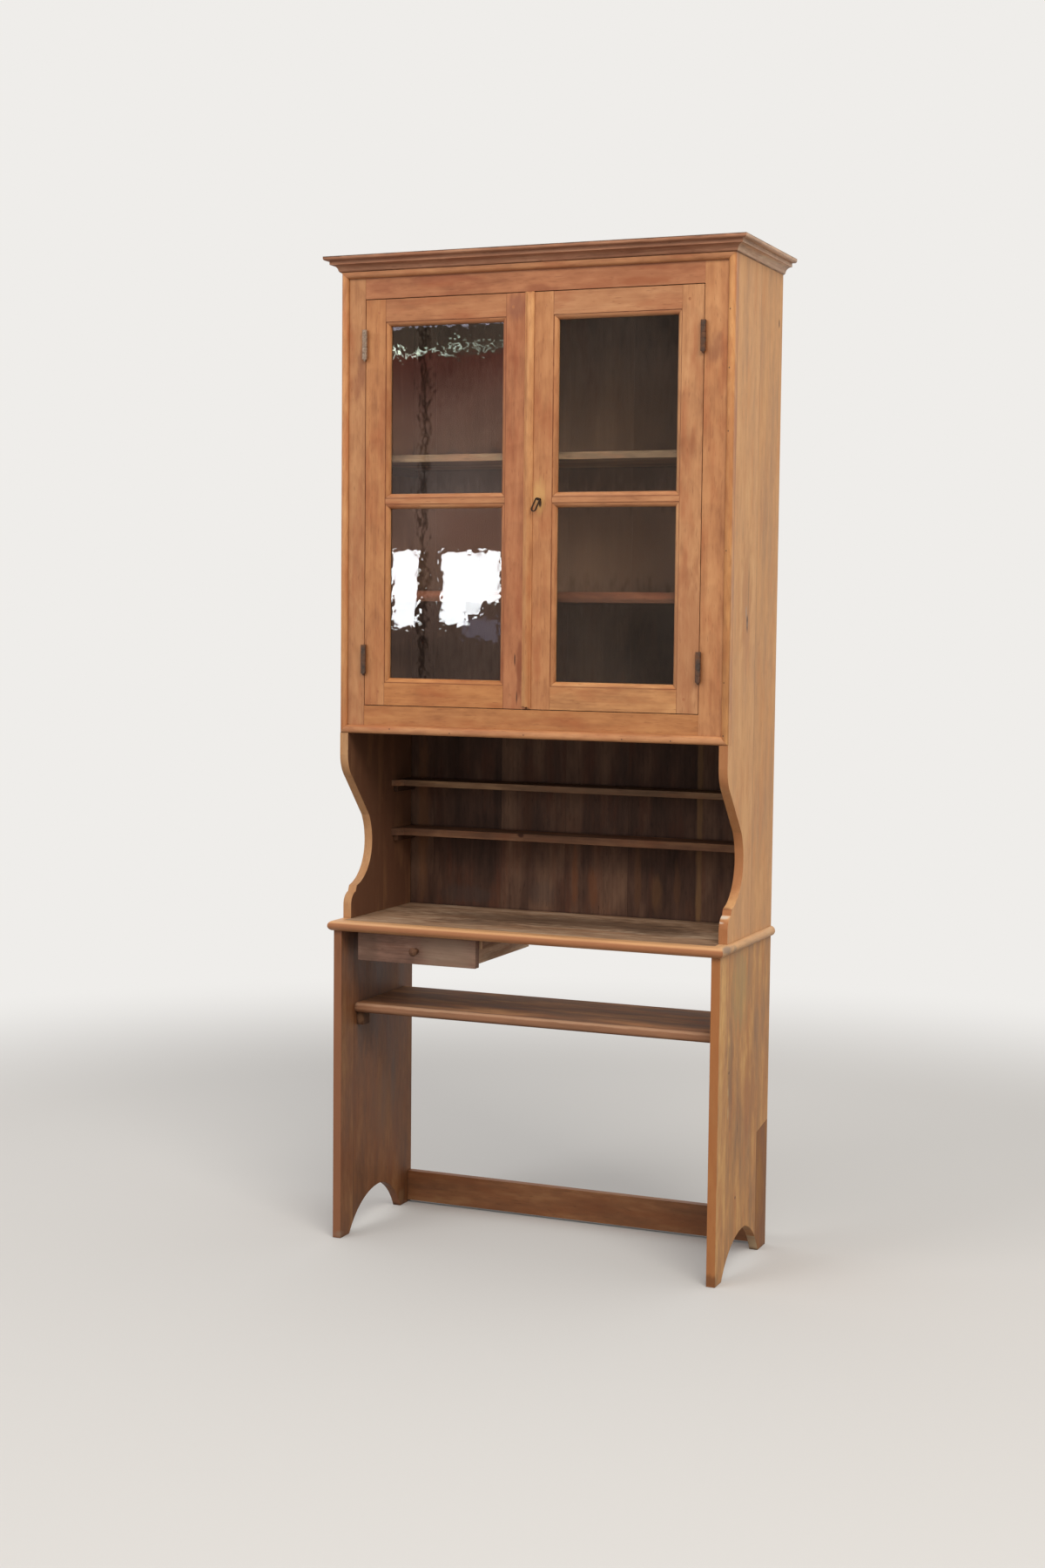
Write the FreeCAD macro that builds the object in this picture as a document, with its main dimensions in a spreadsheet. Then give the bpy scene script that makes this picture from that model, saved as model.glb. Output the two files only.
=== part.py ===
import FreeCAD, Part
import math
import os
import Sketcher

# Step back cupboard: a glazed two-door cabinet with shaped sides, standing on
# the counter of a plain base with a lower shelf and one hung drawer.
# Millimetres. X is to the right, Y to the back, Z up.  The origin is on the
# floor, in the middle of the width and of the counter's depth.

DRIVING_SIZES = {
    # whole cupboard
    "overall_height": 2000,
    "body_width": 828.5,  # outer faces of the sides and of the legs
    "board_thickness": 18,  # sides and legs
    "seat_gap": 0.3,  # between a piece that slides and what carries it
    "wood_gap": 0.5,  # between boards that lie side by side
    "back_board_gap": 0.1,
    # base
    "counter_depth": 347.5,
    "counter_height": 661.5,
    "counter_thickness": 20.5,
    "counter_overhang": 9,
    "nosing_width": 25,
    "leg_setback": 12.5,  # behind the counter's front edge
    "leg_front_strip": 45,
    "front_foot": 40,
    "rear_foot": 52,
    "arch_peak_from_back": 145,
    "arch_height": 74,
    "arch_front_radius": 164,
    "arch_rear_radius": 134,
    "patch_width": 75,
    "patch_height_front": 249,
    "patch_height_back": 262,
    "stretcher_bottom": 5,
    "stretcher_height": 65,
    "stretcher_thickness": 18,
    "lower_shelf_drop": 179.5,  # below the counter
    "lower_shelf_thickness": 19.5,
    "lower_shelf_setback": 60,  # behind the front of the legs
    "lower_shelf_rounding": 8.5,
    "lower_shelf_rear_gap": 39,  # from its rear edge to the back of the legs
    "lower_cleat_depth": 28,
    "lower_cleat_height": 27,
    "lower_cleat_width": 15,
    "lower_cleat_inset": 11,  # behind the shelf's front edge
    # drawer
    "drawer_inset": 30.25,  # from the left leg
    "drawer_front_width": 263,
    "drawer_front_height": 57,
    "drawer_front_thickness": 18,
    "drawer_top_gap": 3,
    "drawer_setback": 27.5,  # behind the counter's front edge
    "drawer_back_gap": 14,  # drawer and hangers stop short of the back
    "drawer_box_width": 240,
    "drawer_box_height": 52,
    "drawer_box_drop": 1.5,  # box below the top of the drawer front
    "drawer_side_thickness": 9,
    "drawer_bottom_thickness": 5,
    "drawer_bottom_rise": 5,
    "drawer_groove": 4,
    "slip_width": 6,
    "slip_height": 10,
    "hanger_width": 10.5,
    "hanger_height": 22.5,
    "slip_gap": 2,  # between a slip and its hanger
    "hanger_foot_gap": 1.5,  # between a hanger's foot and the box
    "hanger_foot_thickness": 6.5,
    "knob_diameter": 18,
    "knob_projection": 21,
    "knob_neck_diameter": 10,
    "knob_base_diameter": 12,
    "knob_shank_diameter": 8,
    "knob_edge": 7,
    "knob_dome": 5,
    "knob_drop": 1.5,  # below the middle of the drawer front
    # upper cabinet
    "step_back": 41.5,  # cabinet's face behind the counter's front edge
    "niche_height": 383.5,
    "top_thickness": 16,
    "floor_thickness": 18,
    "floor_step": 3,  # floor below the top of the bottom rail
    "frame_thickness": 16,
    "left_frame_stile": 37.15,
    "right_frame_stile": 46.65,
    "frame_rail_top": 84,
    "frame_rail_bottom": 57,
    "bead_width": 15,
    "bead_projection": 8,
    "bead_top_width": 12.5,
    "bead_bottom_width": 17,
    "bead_bottom_projection": 8.5,
    "cornice_height": 30,
    "cornice_projection": 28,
    "cornice_backing": 6,
    "cornice_fillet": 3.5,
    "cornice_rounding": 4.5,
    "cornice_step": 5.5,
    "cornice_neck": 7.5,
    "cornice_cove_radius": 13,
    "cornice_foot": 5,
    "cornice_foot_height": 6,
    "side_front_seam": 145,  # seam of the side's two boards to the back
    "ear_projection": 4,  # in front of the frame
    "ear_straight": 45,
    "nose_setback": 22,  # setbacks are behind the ear
    "nose_drop": 93,  # drops are below the frame
    "slope_setback": 97,
    "slope_drop": 175,
    "hollow_setback": 112,
    "hollow_drop": 230,
    "notch_setback": 42,
    "notch_height": 65.5,
    "side_foot_setback": 17,
    "side_foot_height": 29,
    "side_foot_step": 5,
    "side_foot_notch": 12,
    "side_foot_radius": 26,
    "cabinet_shelf_upper_rise": 509,  # above the cabinet's floor
    "cabinet_shelf_upper_thickness": 14,
    "cabinet_shelf_lower_rise": 236,
    "cabinet_shelf_lower_thickness": 21,
    "cabinet_shelf_setback": 41,  # behind the cabinet's face
    "cleat_width": 12,
    "cleat_height": 16,
    "cleat_inset": 10,
    "back_thickness": 12,
    "back_board_1": 55.25,  # widths from the left
    "back_board_2": 159,
    "back_board_3": 147,
    "back_board_4": 141,
    "back_board_5": 150,
    "back_strip_width": 12,
    "plate_shelf_upper_rise": 273.5,  # above the counter
    "plate_shelf_upper_thickness": 13,
    "plate_shelf_lower_rise": 170.5,
    "plate_shelf_lower_thickness": 15.5,
    "plate_shelf_depth": 88,
    "plate_shelf_end_depth": 108,
    "plate_cleat_height": 12,
    "plate_cleat_width": 10,
    # doors
    "door_thickness": 20,
    "door_gap": 1.5,  # above and below the doors
    "hinge_gap": 1.2,
    "meeting_gap": 2.4,
    "hinge_stile": 44,
    "meeting_stile": 49,
    "door_rail_top": 45,
    "door_rail_bottom": 46,
    "muntin_rise": 410,  # middle of the bar above the door's lower edge
    "muntin_width": 12,
    "moulding_width": 9,
    "moulding_depth": 8.5,
    "moulding_quirk": 1.2,
    "moulding_radius": 7.8,
    "glass_depth": 10,
    "glass_rebate": 7,
    "glass_thickness": 2,
    "glass_play": 1,
    "putty_depth": 7,
    "putty_lip": 3,
    "tenon_length": 30,
    "bar_tenon_length": 20,
    "tenon_thickness": 6,
    "tenon_shoulder": 8,
    "peg_diameter": 6,
    "peg_length": 16,
    "strip_width": 19,
    "strip_lap": 9.25,  # beyond the middle of the meeting gap
    "strip_edge_depth": 2,
    "strip_edge_width": 2,
    "strip_projection": 6.5,
    "strip_relief": 0.4,
    "strip_end_gap": 1,
    # hinges
    "hinge_length": 58,
    "barrel_diameter": 10.5,
    "pin_diameter": 5,
    "pin_play": 0.05,
    "pin_standoff": 5.6,  # pin in front of the doors' face
    "pin_tip": 4.5,
    "pin_tip_diameter": 8,
    "pin_point_diameter": 2,
    "knuckle_gap": 0.3,
    "leaf_thickness": 1.8,
    "leaf_gap": 0.2,
    "leaf_width": 14,
    "left_hinge_from_top": 88.5,
    "left_hinge_from_bottom": 92.5,
    "right_hinge_from_top": 96.5,
    "right_hinge_from_bottom": 89.5,
    # lock and key
    "keyhole_inset": 23.15,  # from the right door's meeting edge
    "keyhole_rise": 0.5,  # above the middle of the bar
    "keyhole_diameter": 6,
    "lock_width": 33,
    "lock_height": 60,
    "lock_depth": 12,
    "lock_wall": 1.6,
    "lock_edge_inset": 2.5,
    "lock_rise": 6,
    "bolt_height": 14,
    "bolt_thickness": 6,
    "bolt_length": 18,
    "bolt_rise": 17,
    "key_stem_diameter": 4.5,
    "key_projection": 11,
    "key_bit_gap": 0.6,  # under the bolt's lower guide
    "key_bit_thickness": 2.2,
    "bow_length": 26,
    "bow_width": 11,
    "bow_wire": 2.4,
    "bow_tilt": 25,
}
KNUCKLES = 5
BACK_BOARDS = 6
OVERRUN = 1.0  # how far a cutter runs past the wood

doc = FreeCAD.newDocument("StepBackCupboard")
sheet = doc.addObject("Spreadsheet::Sheet", "Sizes")
for row, (alias, number) in enumerate(DRIVING_SIZES.items(), start=1):
    sheet.set("A%d" % row, alias)
    sheet.set("B%d" % row, str(number))
    sheet.setAlias("B%d" % row, alias)
doc.recompute()


# ---------------------------------------------------------------- sizes

class Length:
    # A number with the sheet expression that it comes from.
    def __init__(self, value, text):
        self.value = value
        self.text = text

    def __add__(self, other):
        other = length(other)
        return Length(self.value + other.value, "(%s + %s)" % (self.text, other.text))

    def __sub__(self, other):
        other = length(other)
        return Length(self.value - other.value, "(%s - %s)" % (self.text, other.text))

    def __mul__(self, factor):
        factor = length(factor)
        return Length(self.value * factor.value, "(%s * %s)" % (self.text, factor.text))

    def __truediv__(self, divisor):
        divisor = length(divisor)
        return Length(self.value / divisor.value, "(%s / %s)" % (self.text, divisor.text))

    def __neg__(self):
        return Length(-self.value, "(-1 * %s)" % self.text)

    __radd__ = __add__
    __rmul__ = __mul__

    def __rsub__(self, other):
        return length(other) - self


def length(number):
    if isinstance(number, Length):
        return number
    return Length(float(number), repr(float(number)))


def size(alias):
    return Length(float(DRIVING_SIZES[alias]), "Sizes." + alias)


def arc_radius(rise, run):
    # Radius of an arc that starts level and rises by one amount over the other.
    return (rise * rise + run * run) / (rise * 2)


def bind(thing, name, value):
    thing.setExpression(name, length(value).text)


# ---------------------------------------------------------------- features

PLANES = {"XY": ("XY_Plane", 1), "XZ": ("XZ_Plane", -1), "YZ": ("YZ_Plane", 1)}


def ordered(first, second):
    first, second = length(first), length(second)
    return (first, second) if first.value < second.value else (second, first)


def board(name, x, y, z):
    # A plain rectangular piece between two places along each axis.
    box = doc.addObject("Part::Box", name)
    for side, axis, places in zip(("Length", "Width", "Height"), "xyz", (x, y, z)):
        low, high = ordered(*places)
        bind(box, side, high - low)
        bind(box, "Placement.Base." + axis, low)
    return box


def draw(sketch, points):
    # A closed outline.  A point is (across, up), or (across, up, radius) where
    # an arc leads to the next point, with its centre on the left of the way
    # there for a positive radius and on the right for a negative one.
    corners = [(length(p[0]), length(p[1])) for p in points]
    ends = []
    radii = []
    for i, point in enumerate(points):
        here, there = corners[i], corners[(i + 1) % len(points)]
        start = FreeCAD.Vector(here[0].value, here[1].value, 0)
        end = FreeCAD.Vector(there[0].value, there[1].value, 0)
        if len(point) == 2:
            sketch.addGeometry(Part.LineSegment(start, end), False)
            ends.append((1, 2))
            continue
        radius = length(point[2])
        chord = end - start
        rise = math.sqrt(max(radius.value ** 2 - (chord.Length / 2) ** 2, 0))
        left = FreeCAD.Vector(-chord.y, chord.x, 0).normalize()
        turn = math.copysign(1, radius.value)
        centre = (start + end) * 0.5 + left * rise * turn
        circle = Part.Circle(centre, FreeCAD.Vector(0, 0, 1), abs(radius.value))
        angles = [math.atan2(p.y - centre.y, p.x - centre.x) for p in (start, end)]
        sketch.addGeometry(Part.ArcOfCircle(circle, *angles[::int(turn)]), False)
        ends.append((1, 2) if turn > 0 else (2, 1))
        radii.append((len(ends) - 1, radius * turn))
    count = sketch.GeometryCount
    first = count - len(points)
    for i, (across, up) in enumerate(corners):
        here, before = first + i, first + (i - 1) % len(points)
        start = ends[i][0]
        sketch.addConstraint(
            Sketcher.Constraint("Coincident", before, ends[i - 1][1], here, start))
        for kind, place in (("DistanceX", across), ("DistanceY", up)):
            rule = Sketcher.Constraint(kind, -1, 1, here, start, place.value)
            bind(sketch, "Constraints[%d]" % sketch.addConstraint(rule), place)
    for i, radius in radii:
        rule = Sketcher.Constraint("Radius", first + i, radius.value)
        bind(sketch, "Constraints[%d]" % sketch.addConstraint(rule), radius)


def sketch_on(body, plane, offset, *outlines):
    role, sign = PLANES[plane]
    sketch = body.newObject("Sketcher::SketchObject", body.Name + "_sketch")
    origin = [f for f in body.Origin.OriginFeatures if f.Role == role][0]
    sketch.AttachmentSupport = (origin, [""])
    sketch.MapMode = "FlatFace"
    bind(sketch, "AttachmentOffset.Base.z", length(offset) * sign)
    for points in outlines:
        draw(sketch, points)
    return sketch


def padded(name, plane, points, places):
    # A body made by padding an outline between two places across its plane.
    low, high = ordered(*places)
    body = doc.addObject("PartDesign::Body", name)
    start = low if PLANES[plane][1] > 0 else high
    pad = body.newObject("PartDesign::Pad", name + "_pad")
    pad.Profile = sketch_on(body, plane, start, points)
    bind(pad, "Length", high - low)
    return body


def cut_along(body, plane, *outlines):
    # Planes the outlines away along the whole body, both ways from its origin.
    pocket = body.newObject("PartDesign::Pocket", body.Name + "_pocket")
    pocket.Profile = sketch_on(body, plane, 0, *outlines)
    pocket.Type = "ThroughAll"
    pocket.Midplane = True
    return body


def rod(name, diameter, centre, axis, places):
    # A round piece along X, Y or Z, from the lower place to the higher one.
    low, high = ordered(*places)
    cylinder = doc.addObject("Part::Cylinder", name)
    turns = {"x": ((0, 1, 0), 90), "y": ((-1, 0, 0), 90), "z": ((0, 0, 1), 0)}
    way, angle = turns[axis]
    rotation = FreeCAD.Rotation(FreeCAD.Vector(*way), angle)
    cylinder.Placement = FreeCAD.Placement(FreeCAD.Vector(), rotation)
    bind(cylinder, "Radius", diameter / 2)
    bind(cylinder, "Height", high - low)
    across = iter(centre)
    for letter in "xyz":
        bind(cylinder, "Placement.Base." + letter, low if letter == axis else next(across))
    return cylinder


def cut(name, base, tool):
    result = doc.addObject("Part::Cut", name)
    result.Base, result.Tool = base, tool
    return result


def shared(name, base, tool):
    result = doc.addObject("Part::Common", name)
    result.Base, result.Tool = base, tool
    return result


def joined(name, pieces):
    result = doc.addObject("Part::MultiFuse", name)
    result.Shapes = pieces
    return result


def group(name, pieces):
    # Separate solids that share one node.
    result = doc.addObject("Part::Compound", name)
    result.Links = pieces
    return result


def mirrored(points, side):
    # The same outline on the other hand, where side is -1.
    if side > 0:
        return points
    return [(-length(p[0]),) + (p[1],) + tuple(-length(r) for r in p[2:]) for p in points]


nodes = {}


def node(name, thing):
    thing.Label = name
    nodes[name] = thing
    return thing


# ---------------------------------------------------------------- places

SIDES = (("left", -1), ("right", 1))

outer_x = size("body_width") / 2
inner_x = outer_x - size("board_thickness")
back_y = size("counter_depth") / 2
back_face_y = back_y - size("back_thickness")
top_z = size("overall_height")
counter_top_z = size("counter_height")
counter_under_z = counter_top_z - size("counter_thickness")

frame_front_y = size("step_back") - back_y
frame_rear_y = frame_front_y + size("frame_thickness")
frame_x = outer_x - size("bead_width")
frame_bottom_z = counter_top_z + size("niche_height")
cornice_z = top_z - size("cornice_height")
sides_top_z = top_z - size("top_thickness")
opening_left_x = size("left_frame_stile") - frame_x
opening_right_x = frame_x - size("right_frame_stile")
opening_bottom_z = frame_bottom_z + size("frame_rail_bottom")
opening_top_z = top_z - size("frame_rail_top")
floor_top_z = opening_bottom_z - size("floor_step")

door_rear_y = frame_front_y + size("door_thickness")
door_bottom_z = opening_bottom_z + size("door_gap")
door_top_z = opening_top_z - size("door_gap")
meeting_x = (opening_left_x + opening_right_x) / 2
muntin_z = door_bottom_z + size("muntin_rise")
pin_y = frame_front_y - size("pin_standoff")


# ---------------------------------------------------------------- base

leg_front_y = size("leg_setback") - back_y
lower_shelf_z = counter_top_z - size("lower_shelf_drop")
lower_shelf_y = leg_front_y + size("lower_shelf_setback")


def leg_outline():
    peak_y = back_y - size("arch_peak_from_back")
    return [
        (leg_front_y, 0),
        (leg_front_y + size("front_foot"), 0, -size("arch_front_radius")),
        (peak_y, size("arch_height"), -size("arch_rear_radius")),
        (back_y - size("rear_foot"), 0),
        (back_y, 0),
        (back_y, counter_under_z),
        (leg_front_y, counter_under_z),
    ]


def patch_outline():
    patch_y = back_y - size("patch_width")
    return [
        (patch_y, 0),
        (back_y, 0),
        (back_y, size("patch_height_back")),
        (patch_y, size("patch_height_front")),
    ]


def legs():
    # Each leg is a wide board with a narrow one glued to its front.  A let-in
    # piece mends the rear foot of the right leg.
    seam_y = leg_front_y + size("leg_front_strip")
    for hand, side in SIDES:
        name = "leg_" + hand
        span = (inner_x * side, outer_x * side)
        wide = padded(name + "_wide", "YZ", leg_outline(), span)
        narrow = padded(name + "_narrow", "YZ", leg_outline(), span)
        front = board(name + "_front_space", span, (seam_y, -back_y), (0, counter_under_z))
        again = board(name + "_rear_space", span, (seam_y, -back_y), (0, counter_under_z))
        rear = cut(name + "_rear", wide, front)
        strip = shared(name + "_strip", narrow, again)
        if side > 0:
            let_in = padded("patch_space", "YZ", patch_outline(), span)
            whole = padded("patch_blank", "YZ", leg_outline(), span)
            shape = padded("patch_shape", "YZ", patch_outline(), span)
            rear = cut(name + "_mended", rear, let_in)
            node("leg_right_patch", shared("leg_right_patch", whole, shape))
        node(name, group(name, [strip, rear]))


def stretcher():
    bottom = size("stretcher_bottom")
    node("back_stretcher", board(
        "back_stretcher", (-inner_x, inner_x),
        (back_y - size("stretcher_thickness"), back_y),
        (bottom, bottom + size("stretcher_height"))))


def lower_shelf():
    top = lower_shelf_z
    under = top - size("lower_shelf_thickness")
    front = lower_shelf_y
    soft = size("lower_shelf_rounding")
    rear = back_y - size("lower_shelf_rear_gap")
    node("lower_shelf", padded("lower_shelf", "YZ", [
        (front, under + soft, soft),
        (front + soft, under),
        (rear, under),
        (rear, top),
        (front + soft, top, soft),
        (front, top - soft),
    ], (-inner_x, inner_x)))


def counter():
    # The board lies inside half-round strips that are mitred at the front.
    edge_x = outer_x + size("counter_overhang")
    inside_x = edge_x - size("nosing_width")
    inside_y = size("nosing_width") - back_y
    half = size("counter_thickness") / 2
    middle_z = counter_under_z + half
    node("counter_top", board(
        "counter_top", (-inside_x, inside_x), (inside_y, back_y),
        (counter_under_z, counter_top_z)))
    front = padded("counter_nosing_front", "XY", [
        (-edge_x, -back_y), (edge_x, -back_y), (inside_x, inside_y), (-inside_x, inside_y),
    ], (counter_under_z, counter_top_z))
    corners = [
        [(-back_y, counter_top_z), (-back_y, middle_z, -half), (half - back_y, counter_top_z)],
        [(-back_y, counter_under_z), (half - back_y, counter_under_z, -half), (-back_y, middle_z)],
    ]
    node("counter_nosing_front", cut_along(front, "YZ", *corners))
    for hand, side in SIDES:
        name = "counter_nosing_" + hand
        strip = padded(name, "XY", mirrored([
            (edge_x, -back_y), (edge_x, back_y), (inside_x, back_y), (inside_x, inside_y),
        ], side), (counter_under_z, counter_top_z))
        corners = [
            [(edge_x, counter_top_z), (edge_x - half, counter_top_z, -half), (edge_x, middle_z)],
            [(edge_x, counter_under_z), (edge_x, middle_z, -half), (edge_x - half, counter_under_z)],
        ]
        node(name, cut_along(strip, "XZ", *[mirrored(points, side) for points in corners]))


# ---------------------------------------------------------------- drawer

drawer_x = size("drawer_inset") + size("drawer_front_width") / 2 - inner_x
drawer_face_y = size("drawer_setback") - back_y
drawer_rear_y = drawer_face_y + size("drawer_front_thickness")
drawer_top_z = counter_under_z - size("drawer_top_gap")
box_top_z = drawer_top_z - size("drawer_box_drop")
box_bottom_z = box_top_z - size("drawer_box_height")
box_back_y = back_y - size("drawer_back_gap")
box_half = size("drawer_box_width") / 2
wall = size("drawer_side_thickness")
hanger_foot_top_z = counter_under_z - size("hanger_height") + size("hanger_foot_thickness")
slip_bottom_z = hanger_foot_top_z + size("seat_gap")
groove_z = box_bottom_z + size("drawer_bottom_rise")


def drawer_hangers():
    # L-shaped runners under the counter.  Their feet carry the drawer's slips.
    foot_x = box_half + size("hanger_foot_gap")
    web = box_half + size("slip_width") + size("slip_gap")
    outer = web + size("hanger_width")
    bottom = counter_under_z - size("hanger_height")
    span = (drawer_rear_y + size("wood_gap"), box_back_y)
    pieces = []
    for hand, side in SIDES:
        points = [
            (foot_x, bottom), (outer, bottom), (outer, counter_under_z),
            (web, counter_under_z), (web, hanger_foot_top_z), (foot_x, hanger_foot_top_z),
        ]
        points = [(drawer_x + across * side, up) for across, up in points]
        pieces.append(padded("hanger_" + hand, "XZ", points, span))
    node("drawer_hangers", group("drawer_hangers", pieces))


def knob():
    # Turned knob with a shank through the drawer front.
    radius = size("knob_diameter") / 2
    neck = size("knob_neck_diameter") / 2
    base = size("knob_base_diameter") / 2
    shank = size("knob_shank_diameter") / 2
    tip = -size("knob_projection")
    edge = tip + size("knob_dome")
    rear = edge + size("knob_edge")
    body = doc.addObject("PartDesign::Body", "drawer_knob")
    turned = body.newObject("PartDesign::Revolution", "knob_turned")
    dome = (radius * radius + size("knob_dome") * size("knob_dome")) / (size("knob_dome") * 2)
    turned.Profile = sketch_on(body, "YZ", 0, [
        (tip, 0), (size("drawer_front_thickness"), 0),
        (size("drawer_front_thickness"), shank), (0, shank), (0, base),
        (rear, neck), (edge, radius, dome),
    ])
    turned.ReferenceAxis = (turned.Profile[0], ["H_Axis"])
    turned.Angle = 360
    knob_z = drawer_top_z - size("drawer_front_height") / 2 - size("knob_drop")
    bind(body, "Placement.Base.x", drawer_x)
    bind(body, "Placement.Base.y", drawer_face_y)
    bind(body, "Placement.Base.z", knob_z)
    node("drawer_knob", body)
    return knob_z


def drawer():
    bottom_top_z = groove_z + size("drawer_bottom_thickness")
    half = size("drawer_front_width") / 2
    knob_z = knob()
    panel = board(
        "drawer_panel", (drawer_x - half, drawer_x + half), (drawer_face_y, drawer_rear_y),
        (drawer_top_z - size("drawer_front_height"), drawer_top_z))
    shank = rod(
        "knob_hole", size("knob_shank_diameter"), (drawer_x, knob_z), "y",
        (drawer_face_y, drawer_rear_y))
    node("drawer_front", cut("drawer_front", panel, shank))
    node("drawer_bottom", board(
        "drawer_bottom",
        (drawer_x - box_half + wall - size("drawer_groove"),
         drawer_x + box_half - wall + size("drawer_groove")),
        (drawer_rear_y, box_back_y), (groove_z, bottom_top_z)))
    node("drawer_back", board(
        "drawer_back", (drawer_x - box_half + wall, drawer_x + box_half - wall),
        (box_back_y - wall, box_back_y), (bottom_top_z, box_top_z)))
    for hand, side in SIDES:
        name = "drawer_side_" + hand
        # wall of the box, with its slip outside and the bottom's groove inside
        points = [
            (box_half - wall, box_bottom_z),
            (box_half, box_bottom_z),
            (box_half, slip_bottom_z),
            (box_half + size("slip_width"), slip_bottom_z),
            (box_half + size("slip_width"), slip_bottom_z + size("slip_height")),
            (box_half, slip_bottom_z + size("slip_height")),
            (box_half, box_top_z),
            (box_half - wall, box_top_z),
            (box_half - wall, bottom_top_z),
            (box_half - wall + size("drawer_groove"), bottom_top_z),
            (box_half - wall + size("drawer_groove"), groove_z),
            (box_half - wall, groove_z),
        ]
        points = [(drawer_x + across * side, up) for across, up in points]
        node(name, padded(name, "XZ", points, (drawer_rear_y, box_back_y)))


# ---------------------------------------------------------------- cabinet

def side_outline():
    # Straight beside the doors, then a nose, a deep hollow and a small foot.
    ear_y = frame_front_y - size("ear_projection")
    ear_z = frame_bottom_z - size("ear_straight")
    nose_y = ear_y + size("nose_setback")
    nose_z = frame_bottom_z - size("nose_drop")
    slope_y = ear_y + size("slope_setback")
    slope_z = frame_bottom_z - size("slope_drop")
    deep_y = ear_y + size("hollow_setback")
    deep_z = frame_bottom_z - size("hollow_drop")
    notch_y = ear_y + size("notch_setback")
    notch_z = counter_top_z + size("notch_height")
    foot_y = ear_y + size("side_foot_setback")
    foot_z = counter_top_z + size("side_foot_height")
    return [
        (back_y, counter_top_z),
        (back_y, sides_top_z),
        (frame_rear_y, sides_top_z),
        (frame_rear_y, frame_bottom_z),
        (ear_y, frame_bottom_z),
        (ear_y, ear_z, arc_radius(nose_y - ear_y, ear_z - nose_z)),
        (nose_y, nose_z),
        (slope_y, slope_z, -arc_radius(deep_y - slope_y, slope_z - deep_z)),
        (deep_y, deep_z, -arc_radius(deep_y - notch_y, deep_z - notch_z)),
        (notch_y, notch_z),
        (notch_y - size("side_foot_step"), notch_z - size("side_foot_notch"),
         size("side_foot_radius")),
        (foot_y, foot_z),
        (foot_y, counter_top_z),
    ]


def sides():
    # Each side is glued up from two boards.
    seam_y = back_y - size("side_front_seam")
    for hand, side in SIDES:
        name = "side_" + hand
        span = (inner_x * side, outer_x * side)
        whole = padded(name + "_outline", "YZ", side_outline(), span)
        space = board(name + "_space", span, (seam_y, back_y), (counter_top_z, sides_top_z))
        rear = board(name + "_rear", span, (seam_y, back_y), (counter_top_z, sides_top_z))
        node(name, group(name, [cut(name + "_front", whole, space), rear]))


def face_frame():
    deep = (frame_front_y, frame_rear_y)
    node("frame_stile_left", board(
        "frame_stile_left", (-frame_x, opening_left_x), deep, (frame_bottom_z, sides_top_z)))
    node("frame_stile_right", board(
        "frame_stile_right", (opening_right_x, frame_x), deep, (frame_bottom_z, sides_top_z)))
    across = (opening_left_x, opening_right_x)
    node("frame_rail_top", board(
        "frame_rail_top", across, deep, (opening_top_z, sides_top_z)))
    node("frame_rail_bottom", board(
        "frame_rail_bottom", across, deep, (frame_bottom_z, opening_bottom_z)))


def beads():
    # Rounded strips round the frame, mitred at the four corners.
    top_z = cornice_z
    under_top_z = top_z - size("bead_top_width")
    over_bottom_z = frame_bottom_z + size("bead_bottom_width")
    proud_y = frame_front_y - size("bead_projection")
    round_x = size("bead_width") / 2
    for hand, side in SIDES:
        name = "bead_" + hand
        strip = padded(name + "_round", "XZ", mirrored([
            (outer_x, frame_bottom_z), (outer_x, top_z),
            (frame_x, under_top_z), (frame_x, over_bottom_z),
        ], side), (proud_y, frame_front_y))
        corners = [
            [(frame_x, proud_y), (frame_x + round_x, proud_y, -round_x), (frame_x, proud_y + round_x)],
            [(outer_x, proud_y), (outer_x, proud_y + round_x, -round_x), (outer_x - round_x, proud_y)],
        ]
        cut_along(strip, "XY", *[mirrored(points, side) for points in corners])
        root = board(
            name + "_root", (frame_x * side, outer_x * side), (frame_front_y, frame_rear_y),
            (frame_bottom_z, sides_top_z))
        node(name, joined(name, [strip, root]))
    rail = padded("bead_top", "XZ", [
        (-frame_x, under_top_z), (frame_x, under_top_z), (outer_x, top_z), (-outer_x, top_z),
    ], (proud_y, frame_front_y))
    half = size("bead_top_width") / 2
    node("bead_top", cut_along(rail, "YZ", [
        (proud_y, under_top_z), (proud_y + half, under_top_z, -half), (proud_y, under_top_z + half),
    ]))
    full_y = frame_front_y - size("bead_bottom_projection")
    half = size("bead_bottom_width") / 2
    middle_z = frame_bottom_z + half
    rail = padded("bead_bottom", "XZ", [
        (-outer_x, frame_bottom_z), (outer_x, frame_bottom_z),
        (frame_x, over_bottom_z), (-frame_x, over_bottom_z),
    ], (full_y, frame_front_y))
    node("bead_bottom", cut_along(
        rail, "YZ",
        [(full_y, frame_bottom_z), (full_y + half, frame_bottom_z, -half), (full_y, middle_z)],
        [(full_y, over_bottom_z), (full_y, middle_z, -half), (full_y + half, over_bottom_z)]))


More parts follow.
